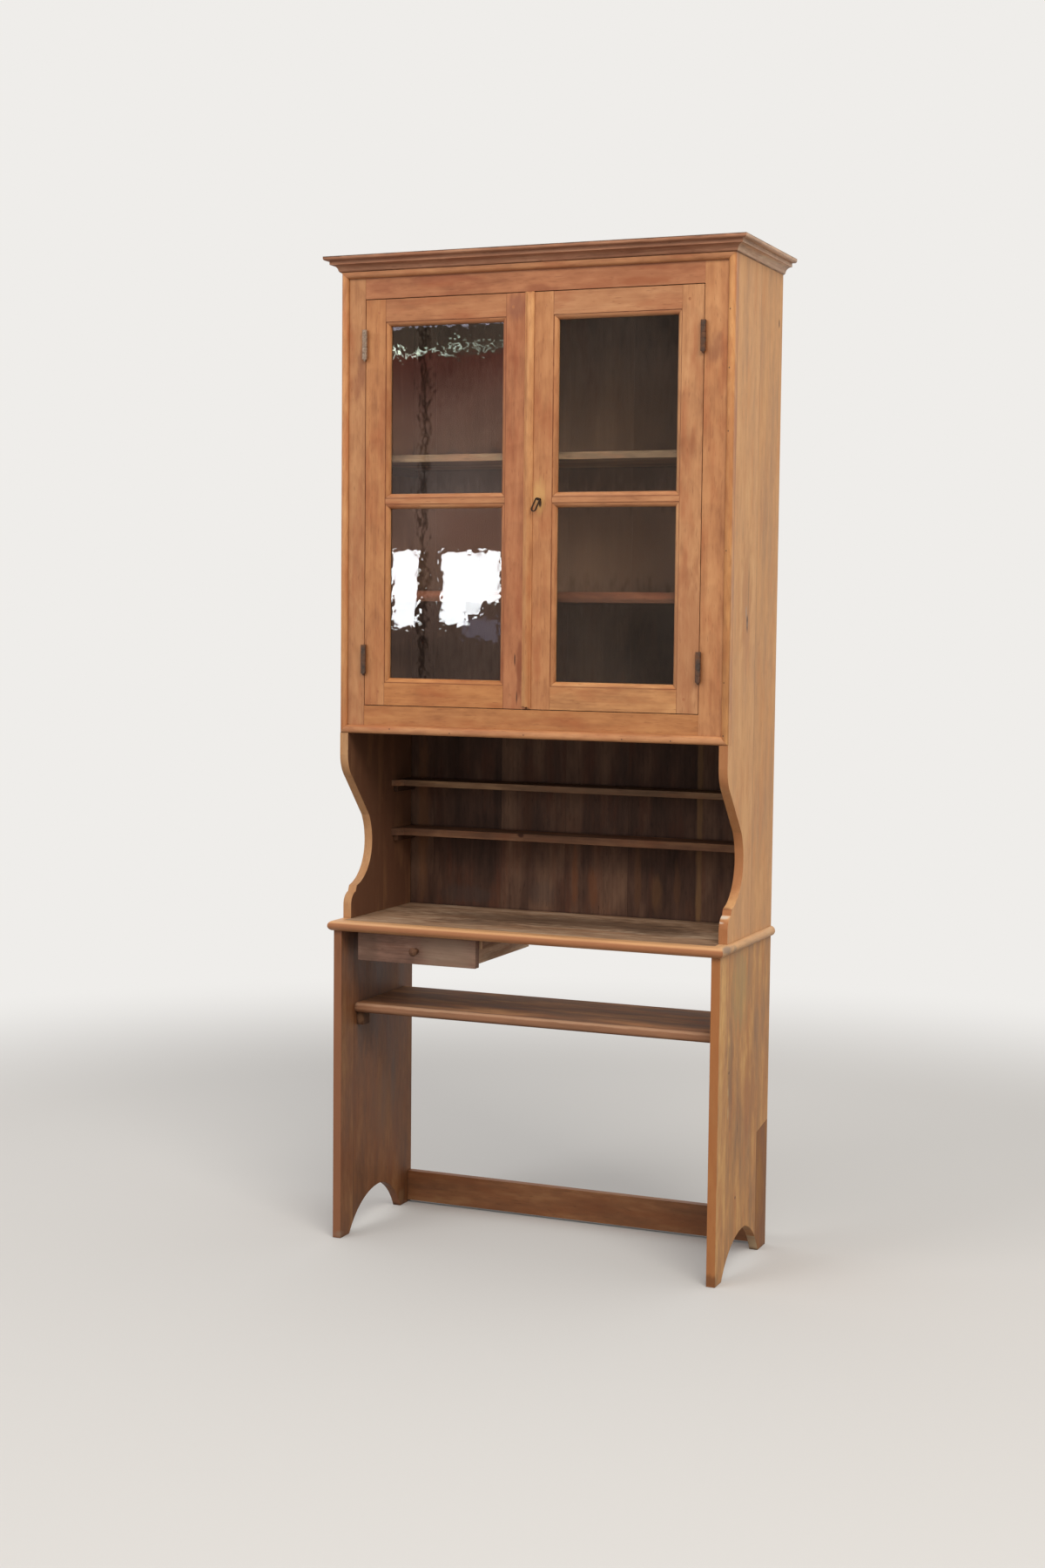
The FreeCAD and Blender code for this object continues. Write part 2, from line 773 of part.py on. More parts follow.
def cornice_cut(out, sign):
    # What is planed off a square strip, as (distance, height) points, where
    # out(distance) is the place that far out from the sides.
    reach = size("cornice_projection")
    rounding = size("cornice_rounding")
    lip_z = top_z - size("cornice_fillet")
    under_z = lip_z - rounding
    step = reach - size("cornice_step") - rounding
    foot = size("cornice_foot")
    foot_tall = size("cornice_foot_height")
    return [
        (out(reach + OVERRUN), lip_z),
        (out(reach), lip_z, -rounding * sign),
        (out(reach - rounding), under_z),
        (out(step), under_z),
        (out(step), under_z - size("cornice_neck"), size("cornice_cove_radius") * sign),
        (out(foot), cornice_z + foot_tall, -arc_radius(foot, foot_tall) * sign),
        (out(0), cornice_z),
        (out(0), cornice_z - OVERRUN),
        (out(reach + OVERRUN), cornice_z - OVERRUN),
    ]


def cornice():
    plane_y = frame_front_y - size("cornice_backing")
    reach = size("cornice_projection")
    edge_x = outer_x + reach
    edge_y = plane_y - reach
    front = padded("cornice_front", "XY", [
        (-edge_x, edge_y), (edge_x, edge_y), (outer_x, plane_y), (outer_x, frame_front_y),
        (-outer_x, frame_front_y), (-outer_x, plane_y),
    ], (cornice_z, top_z))
    node("cornice_front", cut_along(
        front, "YZ", cornice_cut(lambda distance: plane_y - distance, -1)))
    for hand, side in SIDES:
        name = "cornice_" + hand
        strip = padded(name, "XY", mirrored([
            (outer_x, plane_y), (edge_x, edge_y), (edge_x, back_y), (outer_x, back_y),
        ], side), (cornice_z, top_z))
        points = cornice_cut(lambda distance: outer_x + distance, 1)
        node(name, cut_along(strip, "XZ", mirrored(points, side)))


cabinet_shelf_y = frame_front_y + size("cabinet_shelf_setback")
plate_end_y = back_y - size("plate_shelf_end_depth")


def carcase_boards():
    node("cabinet_top", board(
        "cabinet_top", (-outer_x, outer_x), (frame_front_y, back_y), (sides_top_z, top_z)))
    deep = (frame_rear_y, back_face_y)
    across = (-inner_x, inner_x)
    node("cabinet_floor", board(
        "cabinet_floor", across, deep, (floor_top_z - size("floor_thickness"), floor_top_z)))
    shelf_deep = (cabinet_shelf_y, back_face_y)
    for name in ("cabinet_shelf_upper", "cabinet_shelf_lower"):
        high = floor_top_z + size(name + "_rise")
        node(name, board(name, across, shelf_deep, (high - size(name + "_thickness"), high)))


def plate_shelves():
    # Narrow shelves at the back of the niche, deeper where they meet the sides.
    front_y = back_y - size("plate_shelf_depth")
    slant = size("plate_shelf_end_depth") - size("plate_shelf_depth")
    points = [
        (-inner_x, back_face_y), (-inner_x, plate_end_y), (slant - inner_x, front_y),
        (inner_x - slant, front_y), (inner_x, plate_end_y), (inner_x, back_face_y),
    ]
    for name in ("plate_shelf_upper", "plate_shelf_lower"):
        high = counter_top_z + size(name + "_rise")
        node(name, padded(name, "XY", points, (high - size(name + "_thickness"), high)))


def cleats():
    # Small strips on the sides and legs under the ends of the shelves.
    inset = size("cleat_inset")
    shelf_deep = (cabinet_shelf_y + inset, back_face_y)
    plate_deep = (plate_end_y + inset, back_face_y)
    low_y = lower_shelf_y + size("lower_cleat_inset")
    rows = []
    for shelf, floor_z, kind, deep in (
            ("cabinet_shelf_upper", floor_top_z, "cleat", shelf_deep),
            ("cabinet_shelf_lower", floor_top_z, "cleat", shelf_deep),
            ("plate_shelf_upper", counter_top_z, "plate_cleat", plate_deep),
            ("plate_shelf_lower", counter_top_z, "plate_cleat", plate_deep)):
        under = floor_z + size(shelf + "_rise") - size(shelf + "_thickness")
        rows.append((shelf, under, kind, deep))
    rows.append((
        "lower_shelf", lower_shelf_z - size("lower_shelf_thickness"), "lower_cleat",
        (low_y, low_y + size("lower_cleat_depth"))))
    pieces = []
    for shelf, under, kind, deep in rows:
        for hand, side in SIDES:
            wide = (inner_x * side, (inner_x - size(kind + "_width")) * side)
            tall = (under - size(kind + "_height"), under)
            pieces.append(board("cleat_%s_%s" % (shelf, hand), wide, deep, tall))
    node("shelf_cleats", group("shelf_cleats", pieces))


def back():
    # Upright boards side by side from the left, then a narrow lighter strip and
    # one last board that fills what is left.
    gap = size("back_board_gap") / 2
    high = (counter_top_z, sides_top_z)
    deep = (back_face_y, back_y)
    boards = []
    left = -inner_x
    seam = left
    for i in range(1, BACK_BOARDS):
        seam = seam + size("back_board_%d" % i)
        right = seam - gap if i < BACK_BOARDS - 1 else seam
        boards.append(board("back_board_%d" % i, (left, right), deep, high))
        left = seam + gap
    strip_right = seam + size("back_strip_width")
    boards.append(board("back_board_%d" % BACK_BOARDS, (strip_right, inner_x), deep, high))
    boards.append(board("back_filler", (seam, strip_right), deep, high))
    node("back_boards", group("back_boards", boards))


# ---------------------------------------------------------------- doors

moulding = size("moulding_width")
rail_top_z = door_top_z - size("door_rail_top")
rail_bottom_z = door_bottom_z + size("door_rail_bottom")
muntin_low_z = muntin_z - size("muntin_width") / 2
muntin_high_z = muntin_z + size("muntin_width") / 2
glass_y = frame_front_y + size("glass_depth")
LIGHTS = ((rail_bottom_z, muntin_low_z), (muntin_high_z, rail_top_z))
TENONS = (
    (door_bottom_z + size("tenon_shoulder"), rail_bottom_z),
    (muntin_low_z, muntin_high_z),
    (rail_top_z, door_top_z - size("tenon_shoulder")),
)


def moulding_cut(edge, way, front, sign):
    # Planed off a piece whose flat ends at edge and whose moulding runs on the
    # given way: a small quirk and an ovolo in front, the glass rebate behind.
    deep = front + size("moulding_depth")
    quirk = front + size("moulding_quirk")
    out = edge + moulding * way
    beyond = out + OVERRUN * way
    sight = edge + (moulding - size("glass_rebate")) * way
    before = front - OVERRUN
    rear = front + size("door_thickness") + OVERRUN
    seat = front + size("glass_depth")
    return (
        [(edge, before), (edge, quirk),
         (edge + size("moulding_quirk") * way, quirk, size("moulding_radius") * sign),
         (out, deep), (beyond, deep), (beyond, before)],
        [(sight, seat), (beyond, seat), (beyond, rear), (sight, rear)],
    )


def turned(outline):
    # The same outline with its two axes swapped, which also turns its arcs.
    return [(p[1], p[0]) + tuple(-length(r) for r in p[2:]) for p in outline]


def stile_outline(outer, edge, way):
    # Upright of a door, with its mouldings mitred at every rail and bar.
    points = [(outer, door_bottom_z), (outer, door_top_z), (edge, door_top_z)]
    for low, high in reversed(LIGHTS):
        points += [
            (edge, high), (edge + moulding * way, high - moulding),
            (edge + moulding * way, low + moulding), (edge, low),
        ]
    return points + [(edge, door_bottom_z)]


def leaf_space(name, x, middle):
    half = size("hinge_length") / 2
    return board(name, x, leaf_span_y(), (middle - half, middle + half))


def leaf_span_y():
    front = pin_y + size("barrel_diameter") / 2 + size("knuckle_gap")
    return (front, front + size("leaf_width"))


def pegs(name, centres):
    return [
        rod("%s_%d" % (name, i), size("peg_diameter"), centre, "y",
            (frame_front_y, frame_front_y + size("peg_length")))
        for i, centre in enumerate(centres)]


def hinge_heights(hand):
    return [
        door_bottom_z + size(hand + "_hinge_from_bottom"),
        door_top_z - size(hand + "_hinge_from_top"),
    ]


def door(hand, side):
    # side is the hinged side of the door: -1 for the left door, 1 for the right.
    name = hand + "_door_"
    opening_x = opening_left_x if side < 0 else opening_right_x
    hinge_edge = opening_x - size("hinge_gap") * side
    meeting_edge = meeting_x + size("meeting_gap") / 2 * side
    hinge_flat = hinge_edge - size("hinge_stile") * side
    meeting_flat = meeting_edge + size("meeting_stile") * side
    deep = (frame_front_y, door_rear_y)
    tongue_y = frame_front_y + (size("door_thickness") - size("tenon_thickness")) / 2
    tongue = (tongue_y, tongue_y + size("tenon_thickness"))
    tenon = size("tenon_length")
    tenons = (tenon, size("bar_tenon_length"), tenon)
    flats = ordered(hinge_flat, meeting_flat)

    uprights = (
        ("hinge_stile", hinge_edge, hinge_flat, -side),
        ("meeting_stile", meeting_edge, meeting_flat, side))
    peg_rows = {}
    for part, outer, edge, way in uprights:
        stile = padded(name + part + "_blank", "XZ", stile_outline(outer, edge, way), deep)
        cut_along(stile, "XY", *moulding_cut(edge, way, frame_front_y, way))
        peg_x = edge - tenon / 2 * way
        centres = [(peg_x, (low + high) / 2) for low, high in (TENONS[0], TENONS[2])]
        peg_rows[part] = centres
        spaces = [
            board("%s%s_mortise_%d" % (name, part, i), (edge, edge - deep_in * way), tongue, span)
            for i, (span, deep_in) in enumerate(zip(TENONS, tenons))]
        spaces += pegs(name + part + "_peg_hole", centres)
        if part == "hinge_stile":
            sunk = size("leaf_thickness") + size("leaf_gap") / 2 - size("hinge_gap") / 2
            spaces += [
                leaf_space("%sleaf_space_%d" % (name, i), (outer, outer - sunk * side), middle)
                for i, middle in enumerate(hinge_heights(hand))]
        elif hand == "right":
            spaces.append(rod(
                "keyhole", size("keyhole_diameter"), (keyhole_x, keyhole_z), "y",
                (frame_front_y, door_rear_y)))
        node(name + part, cut(name + part, stile, group(name + part + "_spaces", spaces)))

    outlines = {
        "top_rail": [
            (flats[0], door_top_z), (flats[0], rail_top_z),
            (flats[0] + moulding, rail_top_z - moulding),
            (flats[1] - moulding, rail_top_z - moulding), (flats[1], rail_top_z),
            (flats[1], door_top_z)],
        "bar": [
            (flats[0], muntin_low_z), (flats[0] + moulding, muntin_low_z - moulding),
            (flats[1] - moulding, muntin_low_z - moulding), (flats[1], muntin_low_z),
            (flats[1], muntin_high_z), (flats[1] - moulding, muntin_high_z + moulding),
            (flats[0] + moulding, muntin_high_z + moulding), (flats[0], muntin_high_z)],
        "bottom_rail": [
            (flats[0], door_bottom_z), (flats[0], rail_bottom_z),
            (flats[0] + moulding, rail_bottom_z + moulding),
            (flats[1] - moulding, rail_bottom_z + moulding), (flats[1], rail_bottom_z),
            (flats[1], door_bottom_z)],
    }
    edges = {
        "bottom_rail": [(rail_bottom_z, 1)],
        "bar": [(muntin_low_z, -1), (muntin_high_z, 1)],
        "top_rail": [(rail_top_z, -1)],
    }
    for i, part in enumerate(edges):
        rail = padded(name + part + "_blank", "XZ", outlines[part], deep)
        profiles = []
        for edge, way in edges[part]:
            profiles += [turned(p) for p in moulding_cut(edge, way, frame_front_y, way)]
        cut_along(rail, "YZ", *profiles)
        tongues = [
            board("%s%s_tenon" % (name, part), span, tongue, TENONS[i])
            for span in ((flats[0] - tenons[i], flats[0]), (flats[1], flats[1] + tenons[i]))]
        solid = joined(name + part + "_whole", [rail] + tongues)
        if part != "bar":
            row = 0 if part == "bottom_rail" else 1
            centres = [peg_rows[upright][row] for upright in peg_rows]
            holes = pegs(name + part + "_peg_hole", centres)
            solid = cut(name + part, solid, group(name + part + "_spaces", holes))
        node(name + part, solid)

    every = [centre for centres in peg_rows.values() for centre in centres]
    node(name + "pegs", group(name + "pegs", pegs(name + "peg", every)))
    glazing(name, flats)
    return hinge_edge, meeting_edge


def glazing(name, flats):
    # Panes held in the rebates from behind by putty.
    reach = moulding - size("glass_rebate")
    play = size("glass_play")
    panes, fillets = [], []
    behind = glass_y + size("glass_thickness")
    putty_rear = behind + size("putty_depth")
    for i, (low, high) in enumerate(LIGHTS):
        left, right = flats[0] + reach, flats[1] - reach
        bottom, top = low + reach, high - reach
        panes.append(board(
            "%spane_%d" % (name, i), (left + play, right - play), (glass_y, behind),
            (bottom + play, top - play)))
        ring = board(
            "%sputty_ring_%d" % (name, i), (left, right), (behind, putty_rear), (bottom, top))
        lip = size("putty_lip")
        sight = size("glass_rebate")
        hollow = doc.addObject("Part::Wedge", "%sputty_hollow_%d" % (name, i))
        # the wedge runs from the glass, where the putty is wide, to the back
        for side, value in (
                ("Xmin", left + sight), ("Xmax", right - sight),
                ("Ymin", behind), ("Ymax", putty_rear),
                ("Zmin", bottom + sight), ("Zmax", top - sight),
                ("X2min", left + lip), ("X2max", right - lip),
                ("Z2min", bottom + lip), ("Z2max", top - lip)):
            bind(hollow, side, value)
        fillets.append(cut("%sputty_%d" % (name, i), ring, hollow))
    node(name + "panes", group(name + "panes", panes))
    node(name + "putty", group(name + "putty", fillets))


def cover_strip(meeting_edge):
    # Bead planted on the right door.  It laps the left door, just clear of it.
    left = meeting_x - size("strip_lap")
    right = left + size("strip_width")
    edge_y = frame_front_y - size("strip_edge_depth")
    proud_y = frame_front_y - size("strip_projection")
    relief_y = frame_front_y - size("strip_relief")
    shoulder = size("strip_edge_width")
    middle = (left + right) / 2
    gap = size("strip_end_gap")
    rounding = arc_radius(edge_y - proud_y, (right - left) / 2 - shoulder)
    node("cover_strip", padded("cover_strip", "XY", [
        (left, relief_y),
        (left, edge_y),
        (left + shoulder, edge_y, rounding),
        (middle, proud_y, rounding),
        (right - shoulder, edge_y),
        (right, edge_y),
        (right, frame_front_y),
        (meeting_edge, frame_front_y),
        (meeting_edge, relief_y),
    ], (door_bottom_z + gap, door_top_z + gap)))


# ---------------------------------------------------------------- hinges

def hinge(hand, side, number, middle):
    # Butt hinge: leaf and outer knuckles on the frame, the others on the door.
    name = "%s_hinge_%d_" % (hand, number)
    opening_x = opening_left_x if side < 0 else opening_right_x
    pin_x = opening_x - size("hinge_gap") / 2 * side
    low = middle - size("hinge_length") / 2
    step = size("hinge_length") / KNUCKLES
    span_y = leaf_span_y()
    near = size("leaf_gap") / 2
    far = near + size("leaf_thickness")
    leaves = {}
    for owner, way in (("frame", side), ("door", -side)):
        leaf_x = (pin_x + near * way, pin_x + far * way)
        parts = [board(name + owner + "_leaf", leaf_x, span_y, (low, low + step * KNUCKLES))]
        for i in range(KNUCKLES):
            if (i % 2 == 0) != (owner == "frame"):
                continue
            gap = size("knuckle_gap") / 2
            high_z = low + step * (i + 1) - (gap if i < KNUCKLES - 1 else 0)
            low_z = low + step * i + (gap if i > 0 else 0)
            parts.append(rod(
                "%s%s_knuckle_%d" % (name, owner, i), size("barrel_diameter"),
                (pin_x, pin_y), "z", (low_z, high_z)))
            parts.append(board(
                "%s%s_web_%d" % (name, owner, i), leaf_x, (pin_y, span_y[0]), (low_z, high_z)))
        play = size("pin_play") * 2 if owner == "door" else 0
        bore = rod(
            name + owner + "_bore", size("pin_diameter") + play, (pin_x, pin_y), "z",
            (low, low + size("hinge_length")))
        leaves[owner] = cut(name + owner, joined(name + owner + "_solid", parts), bore)
    shaft = rod(
        name + "shaft", size("pin_diameter"), (pin_x, pin_y), "z",
        (low, low + size("hinge_length")))
    tip = doc.addObject("Part::Cone", name + "tip")
    bind(tip, "Radius1", size("pin_point_diameter") / 2)
    bind(tip, "Radius2", size("pin_tip_diameter") / 2)
    bind(tip, "Height", size("pin_tip"))
    for letter, place in zip("xyz", (pin_x, pin_y, low - size("pin_tip"))):
        bind(tip, "Placement.Base." + letter, place)
    return leaves["frame"], joined(name + "pin", [shaft, tip]), leaves["door"]


def hinges():
    fixed = []
    for hand, side in SIDES:
        moving = []
        for number, middle in enumerate(hinge_heights(hand)):
            leaf, pin, flap = hinge(hand, side, number, middle)
            fixed += [leaf, pin]
            moving.append(flap)
        node(hand + "_door_hinge_leaves", group(hand + "_door_hinge_leaves", moving))
    node("frame_hinge_leaves", group("frame_hinge_leaves", fixed))


def sink_frame_leaves():
    # The frame's stiles are cut away for the hinge leaves.
    sunk = size("leaf_thickness") + size("leaf_gap") / 2 - size("hinge_gap") / 2
    for hand, side in SIDES:
        edge = opening_left_x if side < 0 else opening_right_x
        name = "frame_stile_" + hand
        plain = nodes[name]
        plain.Label = name + "_plain"
        spaces = [
            leaf_space("%s_leaf_space_%d" % (name, i), (edge, edge + sunk * side), middle)
            for i, middle in enumerate(hinge_heights(hand))]
        node(name, cut(name + "_cut", plain, group(name + "_spaces", spaces)))


# ---------------------------------------------------------------- lock

right_meeting_edge = meeting_x + size("meeting_gap") / 2
keyhole_x = right_meeting_edge + size("keyhole_inset")
keyhole_z = muntin_z + size("keyhole_rise")
lock_left_x = right_meeting_edge + size("lock_edge_inset")
lock_middle_z = keyhole_z + size("lock_rise")
bolt_y = door_rear_y + (size("lock_depth") - size("bolt_thickness")) / 2
bolt_low_z = keyhole_z + size("bolt_rise") - size("bolt_height") / 2
guide_low_z = bolt_low_z - size("seat_gap") - size("lock_wall")


def lock():
    # Case screwed behind the right door, with a bolt that slides out of its edge.
    right = lock_left_x + size("lock_width")
    low = lock_middle_z - size("lock_height") / 2
    high = lock_middle_z + size("lock_height") / 2
    shell = size("lock_wall")
    play = size("seat_gap")
    rear = door_rear_y + size("lock_depth")
    bolt_z = (bolt_low_z, bolt_low_z + size("bolt_height"))
    bolt_span = (bolt_y, bolt_y + size("bolt_thickness"))
    case = board("lock_case_block", (lock_left_x, right), (door_rear_y, rear), (low, high))
    spaces = [
        board("lock_cavity", (lock_left_x + shell, right - shell), (door_rear_y, rear - shell),
              (low + shell, high - shell)),
        board("lock_slot", (lock_left_x, lock_left_x + shell),
              (bolt_span[0] - play, bolt_span[1] + play), (bolt_z[0] - play, bolt_z[1] + play)),
    ]
    # two ledges inside the case guide the bolt
    guides = [
        board("lock_guide_low", (lock_left_x + shell, right - shell),
              (bolt_span[0], rear - shell), (guide_low_z, bolt_z[0] - play)),
        board("lock_guide_high", (lock_left_x + shell, right - shell),
              (bolt_span[0], rear - shell), (bolt_z[1] + play, bolt_z[1] + play + shell)),
    ]
    hollow = cut("lock_shell", case, group("lock_spaces", spaces))
    node("lock_case", joined("lock_case", [hollow] + guides))
    node("lock_bolt", board(
        "lock_bolt", (lock_left_x, lock_left_x + size("bolt_length")), bolt_span, bolt_z))


def key():
    # Stem through the stile with a bit in the lock, and an oval wire bow that
    # hangs at a slant in front of the door.
    body = doc.addObject("PartDesign::Body", "key")
    stem = size("key_stem_diameter") / 2
    wire = size("bow_wire") / 2
    front = -size("key_projection")
    rear = size("door_thickness") + size("lock_depth") - size("lock_wall") - size("seat_gap")
    turning = body.newObject("PartDesign::Revolution", "key_stem")
    turning.Profile = sketch_on(
        body, "YZ", 0, [(front, 0), (rear, 0), (rear, stem), (front, stem)])
    turning.ReferenceAxis = (turning.Profile[0], ["H_Axis"])
    turning.Angle = 360
    half = size("bow_width") / 2
    top = half - stem
    bottom = half - size("bow_length")
    bow = body.newObject("PartDesign::Pad", "key_bow")
    inner = half - wire * 2
    bow.Profile = sketch_on(
        body, "XZ", front + wire,
        [(half, bottom, -half), (0, bottom - half, -half), (-half, bottom),
         (-half, top - half, -half), (0, top, -half), (half, top - half)],
        [(inner, bottom, -inner), (0, bottom - inner, -inner), (-inner, bottom),
         (-inner, top - half, -inner), (0, top - wire * 2, -inner), (inner, top - half)])
    bind(bow, "Length", wire * 2)
    bow.Midplane = True
    bit = body.newObject("PartDesign::Pad", "key_bit")
    thick = size("key_bit_thickness") / 2
    low_y = size("door_thickness") + size("seat_gap")
    reach = guide_low_z - keyhole_z - size("key_bit_gap")
    bit.Profile = sketch_on(
        body, "YZ", 0, [(low_y, 0), (rear, 0), (rear, -reach), (low_y, -reach)])
    bind(bit, "Length", thick * 2)
    bit.Midplane = True
    rotation = FreeCAD.Rotation(FreeCAD.Vector(0, 1, 0), 0)
    body.Placement = FreeCAD.Placement(FreeCAD.Vector(), rotation)
    bind(body, "Placement.Base.x", keyhole_x)
    bind(body, "Placement.Base.y", frame_front_y)
    bind(body, "Placement.Base.z", keyhole_z)
    bind(body, "Placement.Rotation.Angle", size("bow_tilt"))
    node("key", body)


# ---------------------------------------------------------------- assembly

legs()
stretcher()
lower_shelf()
counter()
drawer_hangers()
drawer()
sides()
face_frame()
beads()
cornice()
carcase_boards()
plate_shelves()
cleats()
back()
for door_hand, hinged_side in SIDES:
    door(door_hand, hinged_side)
cover_strip(right_meeting_edge)
sink_frame_leaves()
hinges()
lock()
key()

doc.recompute()
failed = [
    thing.Name for thing in doc.Objects
    if "Invalid" in thing.State or "Error" in thing.State]
if failed:
    raise RuntimeError("did not recompute: " + ", ".join(failed))
for name, thing in nodes.items():
    if thing.Shape.isNull() or not thing.Shape.isValid() or not thing.Shape.Solids:
        raise RuntimeError("%s has no valid shape" % name)

os.makedirs("parts", exist_ok=True)
for name, thing in nodes.items():
    thing.Shape.exportStep("parts/%s.step" % name)
print(len(nodes), "nodes,", sum(len(thing.Shape.Solids) for thing in nodes.values()), "solids")
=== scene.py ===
import math
import random
import bmesh
import bpy
from mathutils import Matrix, Vector


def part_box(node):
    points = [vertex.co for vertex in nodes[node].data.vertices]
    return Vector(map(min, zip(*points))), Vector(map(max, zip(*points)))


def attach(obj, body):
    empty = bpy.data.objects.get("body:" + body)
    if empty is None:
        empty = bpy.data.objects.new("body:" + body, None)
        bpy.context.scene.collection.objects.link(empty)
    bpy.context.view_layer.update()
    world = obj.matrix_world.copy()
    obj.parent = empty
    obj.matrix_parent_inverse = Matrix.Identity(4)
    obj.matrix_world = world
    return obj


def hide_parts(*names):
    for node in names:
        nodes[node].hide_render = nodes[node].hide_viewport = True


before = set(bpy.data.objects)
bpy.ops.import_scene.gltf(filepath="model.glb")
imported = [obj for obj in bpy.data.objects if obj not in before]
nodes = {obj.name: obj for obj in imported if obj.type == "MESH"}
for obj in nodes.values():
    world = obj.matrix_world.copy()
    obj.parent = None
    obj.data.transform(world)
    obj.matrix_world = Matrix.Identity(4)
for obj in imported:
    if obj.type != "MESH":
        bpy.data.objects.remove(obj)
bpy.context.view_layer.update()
mm = 0.001
print("frame loaded:", len(nodes), "nodes")


def paint(hexColour):
    # sRGB hex to linear colour
    parts = [int(hexColour[i:i + 2], 16) / 255 for i in (1, 3, 5)]
    return tuple(c / 12.92 if c <= 0.04045 else ((c + 0.055) / 1.055) ** 2.4 for c in parts) + (1.0,)


def addNode(tree, kind, settings=None, links=None):
    made = tree.nodes.new("ShaderNode" + kind)
    for name, value in (settings or {}).items():
        if name == "stops":  # a colour ramp: its places and colours
            ramp = made.color_ramp
            while len(ramp.elements) < len(value):
                ramp.elements.new(0.5)
            for stop, (place, colour) in zip(ramp.elements, value):
                stop.position = place
                stop.color = colour if isinstance(colour, tuple) else (colour, colour, colour, 1)
        elif name in ("From", "To"):  # a range: where it starts and where it ends
            for end, number in zip((" Min", " Max"), value):
                made.inputs[name + end].default_value = number
        elif isinstance(name, int) or name in made.inputs:
            made.inputs[name].default_value = value
        else:
            setattr(made, name, value)
    for name, source in (links or {}).items():  # a node stands for its first output
        tree.links.new(source.outputs[0] if hasattr(source, "outputs") else source, made.inputs[name])
    return made


def newMaterial(name):
    material = bpy.data.materials.new(name)
    material.use_nodes = True
    material.node_tree.nodes.clear()
    return material, material.node_tree


# place in metres, angles in degrees
view = {"place": (1.7012, -4.20025, 1.29965), "yaw": 22.820, "pitch": -4.462, "roll": 0.590,
        "focalPixels": 2568.5, "frameHeight": 1800, "sensor": 36.0}


def makeCamera():
    yaw, pitch, roll = (math.radians(view[k]) for k in ("yaw", "pitch", "roll"))
    ahead = Vector((-math.sin(yaw) * math.cos(pitch), math.cos(yaw) * math.cos(pitch), math.sin(pitch)))
    right = Vector((math.cos(yaw), math.sin(yaw), 0))
    up = right.cross(ahead)
    rightRolled = math.cos(roll) * right + math.sin(roll) * up
    upRolled = -math.sin(roll) * right + math.cos(roll) * up
    data = bpy.data.cameras.new("camera")
    data.sensor_width = view["sensor"]
    data.lens = view["focalPixels"] / view["frameHeight"] * view["sensor"]
    camera = bpy.data.objects.new("camera", data)
    turn = Matrix((rightRolled, upRolled, -ahead)).transposed().to_4x4()
    camera.matrix_world = Matrix.Translation(view["place"]) @ turn
    bpy.context.scene.collection.objects.link(camera)
    bpy.context.scene.camera = camera


makeCamera()
print("camera set")

# the floor is a wide disc that turns pale from the first to the second sweep radius, in metres
studio = {"pale": "#efedea", "floorSeen": "#d2d3d5", "floorBounce": "#8a8680", "floorRadius": 9,
          "sweep": (1.7, 3.4), "ambient": "#fffaf3", "ambientStrength": 0.78}


def seenDirectly(tree):
    # 1 for what is seen straight, mirrored or through glass, 0 for light on its way to the wood
    path = addNode(tree, "LightPath")
    near = addNode(tree, "Math", {"operation": "MAXIMUM"},
                   {0: path.outputs["Is Camera Ray"], 1: path.outputs["Is Glossy Ray"]})
    return addNode(tree, "Math", {"operation": "MAXIMUM"},
                   {0: near, 1: path.outputs["Is Transmission Ray"]})


def makeWorld():
    world = bpy.data.worlds.new("studio air")
    bpy.context.scene.world = world
    world.use_nodes = True
    tree = world.node_tree
    tree.nodes.clear()
    soft = addNode(tree, "Background", {"Color": paint(studio["ambient"]),
                                        "Strength": studio["ambientStrength"]})
    pale = addNode(tree, "Background", {"Color": paint(studio["pale"]), "Strength": 1.0})
    mix = addNode(tree, "MixShader", links={0: seenDirectly(tree), 1: soft, 2: pale})
    addNode(tree, "OutputWorld", links={"Surface": mix})


def makeFloor():
    bpy.ops.mesh.primitive_circle_add(vertices=96, radius=studio["floorRadius"], fill_type="NGON")
    floor = bpy.context.object
    floor.name = "studioFloor"
    material, tree = newMaterial("pale painted floor")
    place = addNode(tree, "TexCoord").outputs["Object"]
    far = addNode(tree, "VectorMath", {"operation": "LENGTH"}, {0: place})
    fade = addNode(tree, "MapRange", {"interpolation_type": "SMOOTHSTEP", "From": studio["sweep"]},
                   {"Value": far.outputs["Value"]})
    direct = seenDirectly(tree)
    colour = addNode(tree, "Mix", {"data_type": "RGBA", 6: paint(studio["floorBounce"]),
                                   7: paint(studio["floorSeen"])}, {0: direct})
    matt = addNode(tree, "BsdfDiffuse", links={"Color": colour.outputs[2]})
    glow = addNode(tree, "Emission", {"Color": paint(studio["pale"]), "Strength": 1.0})
    blend = addNode(tree, "Math", {"operation": "MULTIPLY"}, {0: direct, 1: fade})
    mix = addNode(tree, "MixShader", links={0: blend, 1: matt, 2: glow})
    addNode(tree, "OutputMaterial", links={"Surface": mix})
    floor.data.materials.append(material)


